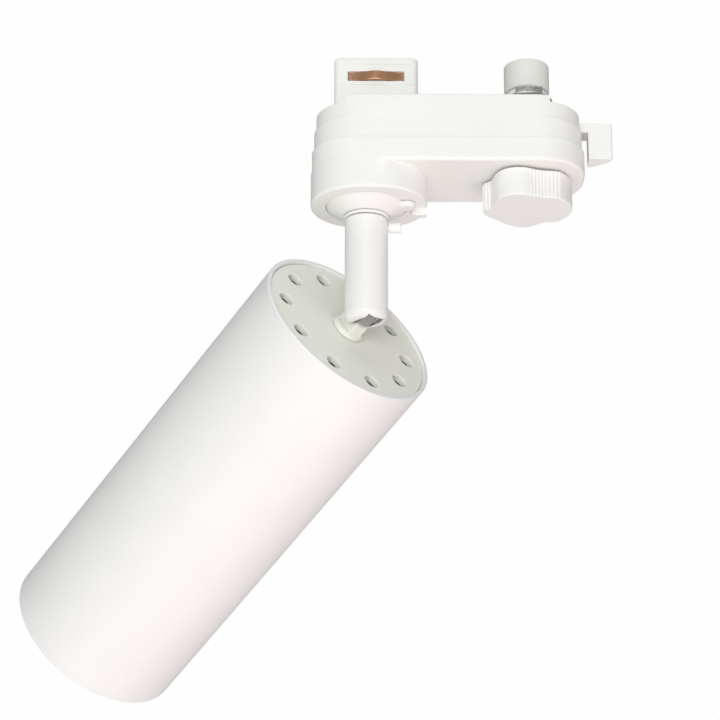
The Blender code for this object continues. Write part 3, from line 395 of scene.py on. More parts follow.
def turned(profile, count=LARGE):
    """Turn a closed (radius, height) profile about Z."""
    shape = bmesh.new()
    rows = []
    for radius, height in profile:
        corners = circle(radius, count) if radius > 0 else [(0, 0)]
        rows.append([shape.verts.new((x, y, height)) for x, y in corners])
    for row, following in zip(rows, rows[1:] + rows[:1]):
        if len(row) == 1 and len(following) == 1:
            continue
        for i in range(count):
            j = (i + 1) % count
            corners = (row[i % len(row)], row[j % len(row)],
                       following[j % len(following)], following[i % len(following)])
            shape.faces.new(tuple(dict.fromkeys(corners)))
    return shape


def soft_profile(corners, radius, steps=3):
    """A closed (radius, height) profile with its corners off the axis rounded."""
    points = []
    for before, corner, after in zip(corners[-1:] + corners[:-1], corners, corners[1:] + corners[:1]):
        if corner[0] <= 0:
            points.append(corner)
            continue
        back = (before[0] - corner[0], before[1] - corner[1])
        ahead = (after[0] - corner[0], after[1] - corner[1])
        reach = min(radius, 0.45 * hypot(*back), 0.45 * hypot(*ahead))
        start = [c + reach * d / hypot(*back) for c, d in zip(corner, back)]
        end = [c + reach * d / hypot(*ahead) for c, d in zip(corner, ahead)]
        for step in range(steps + 1):
            t = step / steps
            points.append(tuple(s * (1 - t) ** 2 + 2 * c * t * (1 - t) + e * t ** 2
                                for s, c, e in zip(start, corner, end)))
    return points


# Pieces ---------------------------------------------------

def add(name, data):
    """A new object in the scene."""
    thing = bpy.data.objects.new(name, data)
    bpy.context.scene.collection.objects.link(thing)
    return thing


def solid(name, shape, place):
    """An object made of a shape, in its place."""
    bmesh.ops.recalc_face_normals(shape, faces=shape.faces)
    mesh = bpy.data.meshes.new(name)
    shape.to_mesh(mesh)
    shape.free()
    thing = add(name, mesh)
    thing.matrix_world = place
    return thing


def bake(thing):
    """Turn a piece's modifiers into its mesh."""
    bpy.context.view_layer.update()
    graph = bpy.context.evaluated_depsgraph_get()
    mesh = bpy.data.meshes.new_from_object(thing.evaluated_get(graph))
    thing.modifiers.clear()
    thing.data = mesh


def combine(thing, shape, operation, place=None):
    """Cut a shape from a piece, or join it on; place is in the piece's own frame."""
    tool = solid("tool", shape, thing.matrix_world @ (place or Matrix.Identity(4)))
    modifier = thing.modifiers.new("combine", "BOOLEAN")
    modifier.operation = operation
    modifier.solver = "EXACT"
    modifier.object = tool
    bake(thing)
    bpy.data.objects.remove(tool)


def cut(thing, shape, place=None):
    combine(thing, shape, "DIFFERENCE", place)


def join(thing, shape, place=None):
    combine(thing, shape, "UNION", place)


def soften(thing, width, segments=3):
    """Round every sharp edge of a piece."""
    modifier = thing.modifiers.new("soften", "BEVEL")
    modifier.width = width
    modifier.segments = segments
    modifier.limit_method = "ANGLE"
    modifier.angle_limit = BEVEL_ANGLE
    bake(thing)


def place_piece(thing, body, slot, nodes=()):
    """Give a piece its finish and its shading, and let it ride on its body."""
    thing.data.transform(thing.matrix_world)
    thing.matrix_world = Matrix.Identity(4)
    thing.data.materials.clear()
    thing.data.materials.append(FINISH[slot])
    thing.data.shade_smooth()
    thing.data.set_sharp_from_angle(angle=SMOOTH_ANGLE)
    modifier = thing.modifiers.new("normals", "WEIGHTED_NORMAL")
    modifier.keep_sharp = True
    bake(thing)
    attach(thing, body)
    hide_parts(*nodes)
    return thing


# Frames of the bodies -------------------------------------

JOINTS = {joint["name"]: joint for joint in frame["joints"]}


def upright_frame(joint):
    """An upright frame on a joint's axis, at the height of the track seat."""
    place = JOINTS[joint]["pos_m"]
    return Matrix.Translation((place[0], place[1], 0))


def frame_of(across, along, origin):
    """A frame with X across and Z along."""
    axes = Matrix((across, along.cross(across), along)).transposed()
    return Matrix.Translation(origin) @ axes.to_4x4()


def pivot_frames():
    """The frame of the stem's forked end and the frame of the lamp head."""
    pivot = Vector(JOINTS["head_tilt"]["pos_m"])
    across = Vector(JOINTS["head_tilt"]["axis"]).normalized()
    low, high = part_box("front_lens")
    beam = ((low + high) / 2 - pivot).normalized()
    return frame_of(across, Vector((0, 0, 1)), pivot), frame_of(across, beam, pivot)


ORIGIN = Matrix.Identity(4)
SWIVEL = upright_frame("swivel_pan")
BOSS = SWIVEL @ Matrix.Translation((BOSS_SHIFT, 0, 0))
TURRET = upright_frame("lock_lever_turn")
FORK, HEAD = pivot_frames()
ACROSS = Matrix.Rotation(pi / 2, 4, "Y")
ALONG_FORK = Matrix.Rotation(pi / 2, 4, "Z") @ Matrix.Rotation(pi / 2, 4, "X")


def box_in(node, place):
    """Lowest and highest corner of a CAD node in a frame of its own."""
    back = place.inverted()
    corners = [back @ vertex.co for vertex in frame["nodes"][node].data.vertices]
    low = Vector([min(corner[i] for corner in corners) for i in range(3)])
    high = Vector([max(corner[i] for corner in corners) for i in range(3)])
    return low, high


NIPPLE_RADIUS = box_in("threaded_nipple", SWIVEL)[1].x
SPINDLE_HOLE = box_in("selector_spindle", TURRET)[1].x + GAP


def soft_ring(node, place, bore, edge, steps=3, count=MIDDLE):
    """A ring as long and as wide as a CAD node, with soft edges."""
    low, high = box_in(node, place)
    return turned(soft_profile(rectangle(bore, high.x, low.z, high.z), edge, steps), count)


# Materials ------------------------------------------------

def noise(material, scale, detail=2.0, stretch=(1, 1, 1)):
    """A noise pattern that is fixed to the piece; scale is in cells per metre."""
    tree = material.node_tree
    place = tree.nodes.new("ShaderNodeTexCoord")
    mapping = tree.nodes.new("ShaderNodeMapping")
    mapping.inputs["Scale"].default_value = [scale * factor for factor in stretch]
    pattern = tree.nodes.new("ShaderNodeTexNoise")
    pattern.inputs["Scale"].default_value = 1.0
    pattern.inputs["Detail"].default_value = detail
    tree.links.new(place.outputs["Object"], mapping.inputs["Vector"])
    tree.links.new(mapping.outputs["Vector"], pattern.inputs["Vector"])
    return pattern.outputs["Fac"]


def shader_of(material):
    return material.node_tree.nodes["Principled BSDF"]


def graded(tree, value, band, tones):
    """The colour between two tones that a value in a band stands for."""
    ramp = tree.nodes.new("ShaderNodeValToRGB")
    for element, position, tone in zip(ramp.color_ramp.elements, band, tones):
        element.position = position
        element.color = (*tone, 1)
    tree.links.new(value, ramp.inputs["Fac"])
    return ramp.outputs["Color"]


def ranged(tree, value, start, end, low=0.0, high=1.0):
    """From low to high as a value goes from start to end."""
    node = tree.nodes.new("ShaderNodeMapRange")
    for name, number in zip(("From Min", "From Max", "To Min", "To Max"), (start, end, low, high)):
        node.inputs[name].default_value = number
    tree.links.new(value, node.inputs["Value"])
    return node.outputs["Result"]


def tint(material, pattern, dark, light):
    """Colour that drifts between two tones with a pattern."""
    tree = material.node_tree
    tone = graded(tree, pattern, TINT_BAND, (dark, light))
    tree.links.new(tone, shader_of(material).inputs["Base Color"])


def gloss(material, pattern, low, high):
    """Roughness that varies between two values with a pattern."""
    tree = material.node_tree
    spread = ranged(tree, pattern, *GLOSS_BAND, low, high)
    tree.links.new(spread, shader_of(material).inputs["Roughness"])


def relief(material, pattern, depth):
    """A bump of a real depth, on top of any that is there."""
    tree = material.node_tree
    bump = tree.nodes.new("ShaderNodeBump")
    bump.inputs["Strength"].default_value = 1.0
    bump.inputs["Distance"].default_value = depth
    tree.links.new(pattern, bump.inputs["Height"])
    normal = shader_of(material).inputs["Normal"]
    if normal.is_linked:
        tree.links.new(normal.links[0].from_socket, bump.inputs["Normal"])
    tree.links.new(bump.outputs["Normal"], normal)


def shade(colour, factor):
    return tuple(channel * factor for channel in colour)


def new_material(name, metallic=0.0, settings=()):
    material = bpy.data.materials.new(name)
    material.use_nodes = True
    shader = shader_of(material)
    shader.inputs["Metallic"].default_value = metallic
    for socket, value in settings:
        shader.inputs[socket].default_value = value
    return material


def plastic(name, colour, low, high, grain=0.008 * MM):
    """Moulded plastic: faint flow tones, a fine spark-eroded grain and slight sink waves."""
    material = new_material(name, settings=[("IOR", 1.5)])
    tint(material, noise(material, 55, 3.0), shade(colour, 0.972), colour)
    gloss(material, noise(material, 260, 3.0), low, high)
    relief(material, noise(material, 45, 1.0), 0.10 * MM)
    relief(material, noise(material, 2600, 2.0), grain)
    return material


def powder_coat(name, colour, low, high):
    """Satin powder coat: orange peel about a millimetre across, with a finer grain on it."""
    material = new_material(name, settings=[("IOR", 1.5)])
    tint(material, noise(material, 38, 3.0), shade(colour, 0.978), colour)
    gloss(material, noise(material, 420, 3.0), low, high)
    relief(material, noise(material, 780, 1.0), 0.010 * MM)
    relief(material, noise(material, 3200, 2.0), 0.004 * MM)
    return material


def calculated(tree, kind, operation, *values):
    """The outputs of a maths node, given sockets or fixed values."""
    node = tree.nodes.new(kind)
    node.operation = operation
    for socket, value in zip(node.inputs, values):
        if isinstance(value, bpy.types.NodeSocket):
            tree.links.new(value, socket)
        else:
            socket.default_value = value
    return node.outputs


def coat_with_painted_shade(name, colour, reach, fade):
    """Powder coat with painted shade: the faces in the tilt pivot's slot get a dull grey that stands
    for the shadow there.
    """
    material = powder_coat(name, colour, 0.38, 0.48)
    tree = material.node_tree
    place = tree.nodes.new("ShaderNodeTexCoord").outputs["Object"]
    pivot, axis = HEAD.translation, Vector(JOINTS["head_tilt"]["axis"]).normalized()
    apart = calculated(tree, "ShaderNodeVectorMath", "DISTANCE", place, pivot)["Value"]
    offset = calculated(tree, "ShaderNodeVectorMath", "SUBTRACT", place, pivot)["Vector"]
    along = calculated(tree, "ShaderNodeVectorMath", "DOT_PRODUCT", offset, axis)["Value"]
    aside = calculated(tree, "ShaderNodeMath", "ABSOLUTE", along)["Value"]
    beyond = ranged(tree, apart, reach - fade, reach + fade)
    beside = ranged(tree, aside, SLOT_WIDTH / 2 + SHADE_MASK_EDGE, SLOT_WIDTH / 2 + 3 * SHADE_MASK_EDGE)
    painted = calculated(tree, "ShaderNodeMath", "MAXIMUM", beyond, beside)["Value"]
    painted_shade_mix = tree.nodes.new("ShaderNodeMixRGB")
    # Painted shade: a dull grey where the slot at the tilt pivot lies in shadow.
    painted_shade_mix.inputs["Color1"].default_value = (*PAINTED_SHADE_GREY, 1)
    base = shader_of(material).inputs["Base Color"]
    tree.links.new(base.links[0].from_socket, painted_shade_mix.inputs["Color2"])
    tree.links.new(painted, painted_shade_mix.inputs["Fac"])
    tree.links.new(painted_shade_mix.outputs["Color"], base)
    return material


def metal(name, colour, tone, low, high, stretch=(1, 1, 1), scratch=0.006 * MM):
    """Bare or plated metal with drawn lines and a drifting tone."""
    material = new_material(name, metallic=1.0)
    tint(material, noise(material, 150, 4.0), tone, colour)
    gloss(material, noise(material, 900, 3.0, stretch), low, high)
    relief(material, noise(material, 2400, 2.0, stretch), scratch)
    return material


def speckled(name, dark, light, scale, low, high, depth=0.01 * MM):
    """A dull material with a fine grain of two tones."""
    material = new_material(name)
    tint(material, noise(material, scale, 3.0), dark, light)
    gloss(material, noise(material, scale / 3, 2.0), low, high)
    relief(material, noise(material, scale * 1.5, 2.0), depth)
    return material


def glass(name):
    """Clear lens glass with the faintest waviness."""
    settings = [("Transmission Weight", 1.0), ("IOR", 1.5)]
    material = new_material(name, settings=settings)
    tint(material, noise(material, 60, 2.0), (0.93, 0.96, 0.96), (0.98, 0.99, 0.99))
    gloss(material, noise(material, 90, 2.0), 0.015, 0.04)
    relief(material, noise(material, 40, 1.0), 0.02 * MM)
    return material


WHITE = (0.905, 0.905, 0.885)
PAINT = (0.895, 0.895, 0.89)
CAP_PAINT = (0.905, 0.91, 0.85)
# A dull grey that paints the shadow in the tilt pivot's slot.
PAINTED_SHADE_GREY = (0.31, 0.315, 0.31)

FINISH = {
    "white_plastic": plastic("white_plastic", WHITE, 0.34, 0.46),
    "inner_plastic": plastic("inner_plastic", (0.80, 0.80, 0.77), 0.42, 0.56),
    "black_plastic": plastic("black_plastic", (0.030, 0.030, 0.032), 0.38, 0.52),
    "white_paint": powder_coat("white_paint", PAINT, 0.36, 0.46),
    "cap_paint": powder_coat("cap_paint", CAP_PAINT, 0.40, 0.50),
    "steel": metal("steel", (0.66, 0.66, 0.65), (0.55, 0.56, 0.57), 0.22, 0.40),
    "aluminium": metal("aluminium", (0.80, 0.81, 0.82), (0.72, 0.73, 0.74), 0.14, 0.30),
    "copper": metal("copper", (0.86, 0.50, 0.32), (0.72, 0.38, 0.22), 0.20, 0.38, (1, 8, 8)),
    "brass": metal("brass", (0.82, 0.65, 0.34), (0.70, 0.53, 0.24), 0.22, 0.40),
    "board": speckled("board", (0.03, 0.20, 0.09), (0.06, 0.30, 0.14), 700, 0.32, 0.50),
    "phosphor": speckled("phosphor", (0.90, 0.66, 0.10), (0.98, 0.82, 0.24), 2400, 0.50, 0.70),
    "ceramic": speckled("ceramic", (0.84, 0.84, 0.82), (0.91, 0.91, 0.89), 1600, 0.45, 0.62),
    "glass": glass("glass"),
    "silicone": speckled("silicone", (0.42, 0.42, 0.42), (0.52, 0.52, 0.52), 900, 0.60, 0.78),
    "sleeve": speckled("sleeve", (0.03, 0.07, 0.26), (0.05, 0.11, 0.38), 300, 0.28, 0.42),
    "tape": speckled("tape", (0.74, 0.54, 0.06), (0.86, 0.67, 0.12), 220, 0.34, 0.52),
}
# The knuckle's coat is the cap's paint darkened by 0.93: painted shade that evens out the extra bounce
# light on its foot.
KNUCKLE_COAT_AND_SHADE = coat_with_painted_shade("knuckle_coat_painted_shade", shade(CAP_PAINT, 0.93), KNUCKLE_SHADE_REACH, KNUCKLE_SHADE_FADE)
# The stem's coat, like the knuckle's, carries painted shade: dull grey in the tilt pivot's slot.
STEM_COAT_AND_SHADE = coat_with_painted_shade("stem_coat_painted_shade", PAINT, STEM_SHADE_REACH, STEM_SHADE_FADE)


# Adapter --------------------------------------------------

def tier(grow, inset=0.0, left_radius=CORNER_RADIUS):
    """Outline of one tier of the housing; tier 1 is the lower part of the upper shell."""
    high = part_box("upper_housing")[1]
    half_length = high.x + (grow - 1) * TIER_STEP - inset
    half_width = high.y + (grow - 1) * TIER_STEP / 2 - inset
    return rounded_rectangle(half_length, half_width, CORNER_RADIUS - inset, left_radius - inset)


def upper_levels():
    """The upper shell from the ceiling inside, down the wall, and up the outside."""
    low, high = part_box("upper_housing")
    levels = [(tier(1, WALL), TOP_PLATE_Z), (tier(1, WALL), low.z)]
    levels += [(tier(1, inset), low.z + rise) for inset, rise in rounding(SEAM_ROUND)]
    levels += [(tier(1), STEP_Z - STEP_HALF), (tier(0, STEP_UNDERCUT), STEP_Z + STEP_HALF)]
    levels.append((tier(0), STEP_Z + STEP_FLARE))
    for inset, side in ((0, -1), (GROOVE_DEPTH, -0.6), (GROOVE_DEPTH, 0.6), (0, 1)):
        levels.append((tier(0, inset), GROOVE_Z + side * GROOVE_HALF))
    levels += [(tier(0, inset), high.z - rise) for inset, rise in reversed(rounding(TOP_ROUND))]
    return levels


def lever_window():
    """The slot that the lock lever's arm sweeps through."""
    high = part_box("lock_lever")[1]
    sweep = radians(JOINTS["lock_lever_turn"]["range_deg"][1]) + 2 * WINDOW_MARGIN
    outline = arc(WINDOW_OUTER, -WINDOW_MARGIN, sweep, WINDOW_STEPS)
    outline += arc(WINDOW_INNER, sweep - WINDOW_MARGIN, -sweep, WINDOW_STEPS)
    return prism(outline, ARM_BOTTOM_Z - GAP, high.z + GAP)


def upper_housing():
    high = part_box("upper_housing")[1]
    shell = solid("upper_shell", loft(upper_levels()), ORIGIN)
    far = 2 * high.x
    for start, end in ((-far, PAD_START), (PAD_END, far)):
        cut(shell, block((start, -far, high.z - PAD_HEIGHT), (end, far, MM)))
    neck_low, neck_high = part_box("contact_carrier")
    opening = block((neck_low.x - GAP, neck_low.y - GAP, TOP_PLATE_Z - MM),
                    (neck_high.x + GAP, neck_high.y + GAP, MM))
    cut(shell, opening)
    cut(shell, disc(SLEEVE_RADIUS + GAP, TOP_PLATE_Z - MM, MM, MIDDLE), TURRET)
    cut(shell, lever_window(), TURRET)
    soften(shell, UPPER_EDGE)
    place_piece(shell, "adapter", "white_plastic", ["upper_housing"])


def lower_levels():
    """The lower shell's outside, from the seam down to the flat underside."""
    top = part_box("upper_housing")[0].z - SEAM_GAP
    bottom = UNDERSIDE_Z
    levels = [(tier(2, inset), top - rise) for inset, rise in rounding(SEAM_ROUND)]
    levels += [(tier(2, inset, LOW_CORNER_RADIUS), bottom + rise)
               for inset, rise in reversed(rounding(BOTTOM_ROUND, FINE_ROUND_STEPS))]
    return levels


def boss_outline(inset=0.0):
    """The boss in plan: all but round, and flush with the housing's long walls."""
    half_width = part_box("upper_housing")[1].y + TIER_STEP / 2 - BOSS_INSET
    return rounded_rectangle(BOSS_HALF_LENGTH - inset, half_width - inset, BOSS_CORNER - inset,
                             steps=BOSS_STEPS)


def boss_shape():
    """The boss, with a round lower edge."""
    levels = [(boss_outline(inset), BOSS_BOTTOM_Z + rise)
              for inset, rise in rounding(BOSS_ROUND, FINE_ROUND_STEPS)]
    levels.append((boss_outline(), BOSS_ROOT_Z))
    return loft(levels)


def boss_bore_profile():
    """What is cut from the boss: nut space, nipple hole and swivel recess."""
    top = UNDERSIDE_Z + FLOOR + CUTTER_PAST
    hole = NIPPLE_RADIUS + NIPPLE_CLEARANCE
    recess = RECESS_GAP - box_in("swivel_base", SWIVEL)[0].x
    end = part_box("lower_housing")[0].z - CUTTER_PAST
    return [(0, top), (BOSS_BORE, top), (BOSS_BORE, BOSS_FLOOR_Z), (hole, BOSS_FLOOR_Z),
            (hole, RECESS_Z), (recess, RECESS_Z), (recess, end), (0, end)]


def lug_shape():
    """The stop lug under the boss, with soft corners in plan."""
    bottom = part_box("lower_housing")[0].z
    levels = []
    for inset, rise in rounding(LUG_ROUND):
        turn = inset / LUG_OUTER
        outline = arc(LUG_OUTER - inset, LUG_START + turn, LUG_SWEEP - 2 * turn, LUG_STEPS)
        outline += arc(LUG_INNER, LUG_START + LUG_SWEEP - turn, 2 * turn - LUG_SWEEP, LUG_STEPS)
        levels.append((outline, bottom + rise))
    levels.append((levels[-1][0], BOSS_BOTTOM_Z + BOSS_ROUND + MM))
    return loft(levels)


def lower_housing():
    shell = solid("lower_shell", loft(lower_levels()), ORIGIN)
    join(shell, boss_shape(), BOSS)
    join(shell, lug_shape(), BOSS)
    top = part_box("lower_housing")[1].z
    cut(shell, prism(tier(2, WALL), UNDERSIDE_Z + FLOOR, top + MM))
    cut(shell, turned(boss_bore_profile(), MIDDLE), SWIVEL)
    cut(shell, disc(SPINDLE_HOLE, UNDERSIDE_Z - MM, UNDERSIDE_Z + FLOOR + MM), TURRET)
    low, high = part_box("housing_end_screw")
    spot = Matrix.Translation((low.x, 0, (low.z + high.z) / 2))
    along = spot @ Matrix.Rotation(-pi / 2, 4, "Y")
    cut(shell, disc(high.y + GAP, -END_SCREW_SEAT, CUTTER_PAST), along)
    cut(shell, disc(END_SCREW_HOLE, -END_SCREW_DEPTH, 0), along)
    soften(shell, LOWER_EDGE)
    place_piece(shell, "adapter", "white_plastic", ["lower_housing"])


def screw_head_profile(shank, radius, low, seat, high, socket):
    """A pan head with a hexagon-sized socket, from the tip of the shank at low."""
    edge = SCREW_EDGE_SHARE * (high - seat)
    depth = SCREW_SOCKET_SHARE * (high - seat)
    corners = [(0, low), (shank * SCREW_TIP_SHARE, low), (shank, low + SCREW_TIP), (shank, seat),
               (radius, seat), (radius, high - edge), (radius - edge, high), (socket, high),
               (socket, high - depth), (0, high - depth)]
    return soft_profile(corners, SCREW_EDGE)


def end_screw():
    low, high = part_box("housing_end_screw")
    seat = high.x - low.x - END_SCREW_HEAD_HEIGHT
    profile = screw_head_profile(END_SCREW_RADIUS, high.y, 0, seat, high.x - low.x, END_SCREW_SOCKET)
    spot = Matrix.Translation((high.x + END_SCREW_SINK, 0, (low.z + high.z) / 2))
    place = spot @ Matrix.Rotation(-pi / 2, 4, "Y")
    screw = solid("end_screw", turned(profile, SMALL), place)
    place_piece(screw, "adapter", "steel", ["housing_end_screw"])


def strip_reach(low, high):
    """The side of the neck that a strip is on, as -1 or +1, and its nearest and farthest |Y|."""
    side = 1 if high.y + low.y > 0 else -1
    return side, min(abs(low.y), abs(high.y)), max(abs(low.y), abs(high.y))


def contact_carrier():
    """The neck block: pockets for the contacts, a rounded crown and two grooves along each side."""
    low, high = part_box("contact_carrier")
    middle = Matrix.Translation(((low.x + high.x) / 2, 0, 0))
    half_length, half_width = (high.x - low.x) / 2, high.y
    levels = [(rounded_rectangle(half_length, half_width, NECK_CORNER), low.z)]
    for inset, rise in reversed(rounding(NECK_ROUND)):
        outline = rounded_rectangle(half_length - inset, half_width - inset, NECK_CORNER)
        levels.append((outline, high.z - rise))
    neck = solid("neck_block", loft(levels), middle)
    for node in STRIPS:
        strip_low, strip_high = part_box(node)
        side, near = strip_reach(strip_low, strip_high)[:2]
        start, end = sorted((side * (near - GAP), side * (half_width + MM)))
        reach = (strip_high.x - strip_low.x) / 2 + GAP
        cut(neck, block((-reach, start, strip_low.z - GAP), (reach, end, strip_high.z + GAP)))
    for side in (-1, 1):
        wall = side * half_width
        for height in NECK_GROOVES:
            low_corner = (-half_length - MM, wall - NECK_GROOVE_DEPTH, height - NECK_GROOVE_HALF)
            high_corner = (half_length + MM, wall + NECK_GROOVE_DEPTH, height + NECK_GROOVE_HALF)
            cut(neck, block(low_corner, high_corner))
    soften(neck, NECK_EDGE, 2)
    place_piece(neck, "adapter", "white_plastic", ["contact_carrier"])


def bowed_outline(half_length, side, near, far):
    """A leaf in plan that bows from its flat ends out to its middle."""
    flat = near + CONTACT_THICKNESS
    outer, inner = [], []
    for step in range(ARC_STEPS + 1):
        along = -half_length + 2 * half_length * step / ARC_STEPS
        share = 0.5 + 0.5 * cos(pi * along / half_length)
        reach = flat + (far - flat) * share
        outer.append((along, side * reach))
        inner.append((along, side * (reach - CONTACT_THICKNESS)))
    return outer + inner[::-1]


def contact_strips():
    """Bowed copper leaves with round edges, standing out of the neck's pockets."""
    for node in STRIPS:
        low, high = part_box(node)
        outline = bowed_outline((high.x - low.x) / 2, *strip_reach(low, high))
        middle = Matrix.Translation(((low.x + high.x) / 2, 0, 0))
        leaf = solid(f"{node}_leaf", prism(outline, low.z, high.z), middle)
        soften(leaf, CONTACT_EDGE, 2)
        place_piece(leaf, "adapter", "copper", [node])


# Lock and selector ----------------------------------------

def lock_lever():
    low, high = box_in("lock_lever", TURRET)
    bore = SLEEVE_RADIUS + GAP
    ring = rectangle(bore, high.y, ARM_BOTTOM_Z, high.z)
    lever = solid("lever", turned(ring, MIDDLE), TURRET)
    half_width = ARM_HALF_WIDTH - ARM_INSET
    arm = block((ARM_START, -half_width, ARM_BOTTOM_Z + ARM_INSET),
                (ARM_END, half_width, high.z - ARM_INSET))
    join(lever, arm)
    join(lever, prism(paddle_outline(high.x), low.z, high.z))
    soften(lever, LEVER_EDGE, 4)
    place_piece(lever, "lock", "white_plastic", ["lock_lever"])


def paddle_outline(outer):
    """The thumb paddle in plan: thick where it meets the arm, thin at its outer edge."""
    return [
        (PADDLE_INNER, -ARM_HALF_WIDTH),
        (outer - PADDLE_TIP, -ARM_HALF_WIDTH + PADDLE_CORNER),
        (outer, -ARM_HALF_WIDTH + PADDLE_CHAMFER),
        (outer - PADDLE_TIP, -PADDLE_HALF_WAIST),
        (PADDLE_INNER + PADDLE_ROOT, PADDLE_HALF_WAIST),
        (PADDLE_INNER + PADDLE_CHAMFER, ARM_HALF_WIDTH),
        (PADDLE_INNER, ARM_HALF_WIDTH - PADDLE_TIP),
    ]


def lock_sleeve():
    low, high = box_in("lock_sleeve", TURRET)
    foot = ARM_BOTTOM_Z - GAP
    corners = [(SLEEVE_BORE, low.z), (high.x, low.z), (high.x, foot), (SLEEVE_RADIUS, foot),
               (SLEEVE_RADIUS, high.z), (SLEEVE_BORE, high.z)]
    profile = soft_profile(corners, SLEEVE_ROUND, 4)
    sleeve = solid("sleeve", turned(profile, MIDDLE), TURRET)
    place_piece(sleeve, "lock", "white_plastic", ["lock_sleeve"])


def lock_cam():
    """A pressed steel plate with two wings, which pass over the track's lips."""
    low, high = box_in("lock_cam", TURRET)
    start = asin(CAM_HALF_WIDTH / CAM_RING)
    side = arc(CAM_RING, -pi / 2 + start, pi - 2 * start, ARC_STEPS)
    spread = start * WING_SHARE
    wing = arc(high.y, pi / 2 - spread, 2 * spread, HALF_ARC_STEPS)
    half = side + wing
    outline = half + [(-x, -y) for x, y in half]
    cam = solid("cam_plate", prism(outline, low.z, high.z), TURRET)
    cut(cam, disc(SLEEVE_RADIUS + GAP, low.z - MM, high.z + MM, MIDDLE))
    soften(cam, CAM_EDGE)
    place_piece(cam, "lock", "steel", ["lock_cam"])


def knob_radius(degrees):
    """Radius of the rim, eased between the crests and hollows that are named."""
    turns = KNOB_RIM + ((KNOB_RIM[0][0] + 360, KNOB_RIM[0][1]),)
    for (start, radius), (end, following) in zip(turns, turns[1:]):
        if start <= degrees <= end:
            share = 0.5 - 0.5 * cos(pi * (degrees - start) / (end - start))
            return (radius + (following - radius) * share) * MM
    return turns[0][1] * MM


def ribbed(degrees):
    """How far the ribs stand out at an azimuth, from 0 to 1."""
    margins = [min(degrees - start, end - degrees) for start, end in RIBBED]
    return min(1.0, max(0.0, max(margins) / RIB_FADE))


def knob_outline(inset, ribs):
    """Broad smooth lobes, with fine upright ribs in the finger hollows."""
    points = []
    for step in range(KNOB_POINTS):
        degrees = KNOB_RIM[0][0] + 360 * step / KNOB_POINTS
        angle = radians(degrees)
        rib = RIB_DEPTH * ribs * ribbed(degrees) * (0.5 + 0.5 * cos(RIB_COUNT * angle))
        reach = knob_radius(degrees) - inset - rib
        points.append((reach * cos(angle), reach * sin(angle)))
    return points


def selector_knob():
    low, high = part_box("selector_knob")
    levels = [(knob_outline(inset, 1 - inset / KNOB_ROUND), low.z + rise)
              for inset, rise in rounding(KNOB_ROUND, 6)]
    levels += [(knob_outline(inset, 1), high.z - KNOB_DROP - rise)
               for inset, rise in reversed(rounding(KNOB_TOP_ROUND, 3))]
    knob = solid("knob", loft(levels), TURRET)
    cut(knob, disc(SPINDLE_HOLE, low.z + KNOB_FACE, high.z + MM))
    place_piece(knob, "selector", "white_plastic", ["selector_knob"])


def phase_carrier():
    low, high = box_in("phase_carrier", TURRET)
    ceiling = high.z - CARRIER_ROOF
    corners = [(SPINDLE_HOLE, low.z), (high.x, low.z), (high.x, high.z), (0, high.z), (0, ceiling),
               (SPINDLE_HOLE, ceiling)]
    profile = soft_profile(corners, CARRIER_ROUND, 4)
    carrier = solid("phase_drum", turned(profile, MIDDLE), TURRET)
    leaf_low, leaf_high = box_in("phase_contact", TURRET)
    pocket = block((leaf_low.x - PHASE_CLEARANCE, leaf_low.y - PHASE_CLEARANCE, leaf_low.z - GAP),
                   (leaf_high.x + PHASE_CLEARANCE, leaf_high.y + MM, leaf_high.z + GAP))
    cut(carrier, pocket)
    soften(carrier, CONTACT_EDGE, 2)
    place_piece(carrier, "selector", "inner_plastic", ["phase_carrier"])


def phase_contact():
    """A block of copper with a round nose that presses on the track's conductor."""
    low, high = box_in("phase_contact", TURRET)
    shoulder = low.y + PHASE_SHOULDER
    outline = [(low.x, low.y), (high.x, low.y), (high.x, shoulder)]
    nose, start = (0, high.y - PHASE_NOSE), (pi - PHASE_NOSE_SWEEP) / 2
    outline += arc(PHASE_NOSE, start, PHASE_NOSE_SWEEP, HALF_ARC_STEPS, nose)
    outline += [(low.x, shoulder)]
    leaf = solid("phase_leaf", prism(outline, low.z, high.z), TURRET)
    soften(leaf, CONTACT_EDGE, 2)
    place_piece(leaf, "selector", "copper", ["phase_contact"])


# Swivel and stem ------------------------------------------

def swivel_base():
    """A low cone with a soft rim, and the ear that meets the stop lug."""
    low, high = box_in("swivel_base", SWIVEL)
    bore = NIPPLE_RADIUS + GAP
    rim = -low.x
    corners = [(bore, high.z), (rim, high.z), (rim, EDGE_BAND_Z),
               (rim - CONE_CHAMFER, EDGE_BAND_Z - CONE_CHAMFER), (CONE_RADIUS, low.z), (bore, low.z)]
    base = solid("swivel_cone", turned(soft_profile(corners, BASE_ROUND, 4)), SWIVEL)
    levels = [(circle(EAR_RADIUS - inset, SMALL), EAR_BOTTOM_Z + rise)
              for inset, rise in rounding(EAR_ROUND)]
    levels.append((circle(EAR_RADIUS, SMALL), BOSS_BOTTOM_Z - GAP))
    centre = (EAR_CENTRE * cos(EAR_AZIMUTH), EAR_CENTRE * sin(EAR_AZIMUTH), 0)
    join(base, loft(levels), Matrix.Translation(centre))
    place_piece(base, "swivel", "white_plastic", ["swivel_base"])


def stem_collar():
    ring = soft_ring("stem_collar", SWIVEL, NIPPLE_RADIUS + GAP, COLLAR_ROUND, 4)
    place_piece(solid("collar", ring, SWIVEL), "swivel", "white_paint", ["stem_collar"])


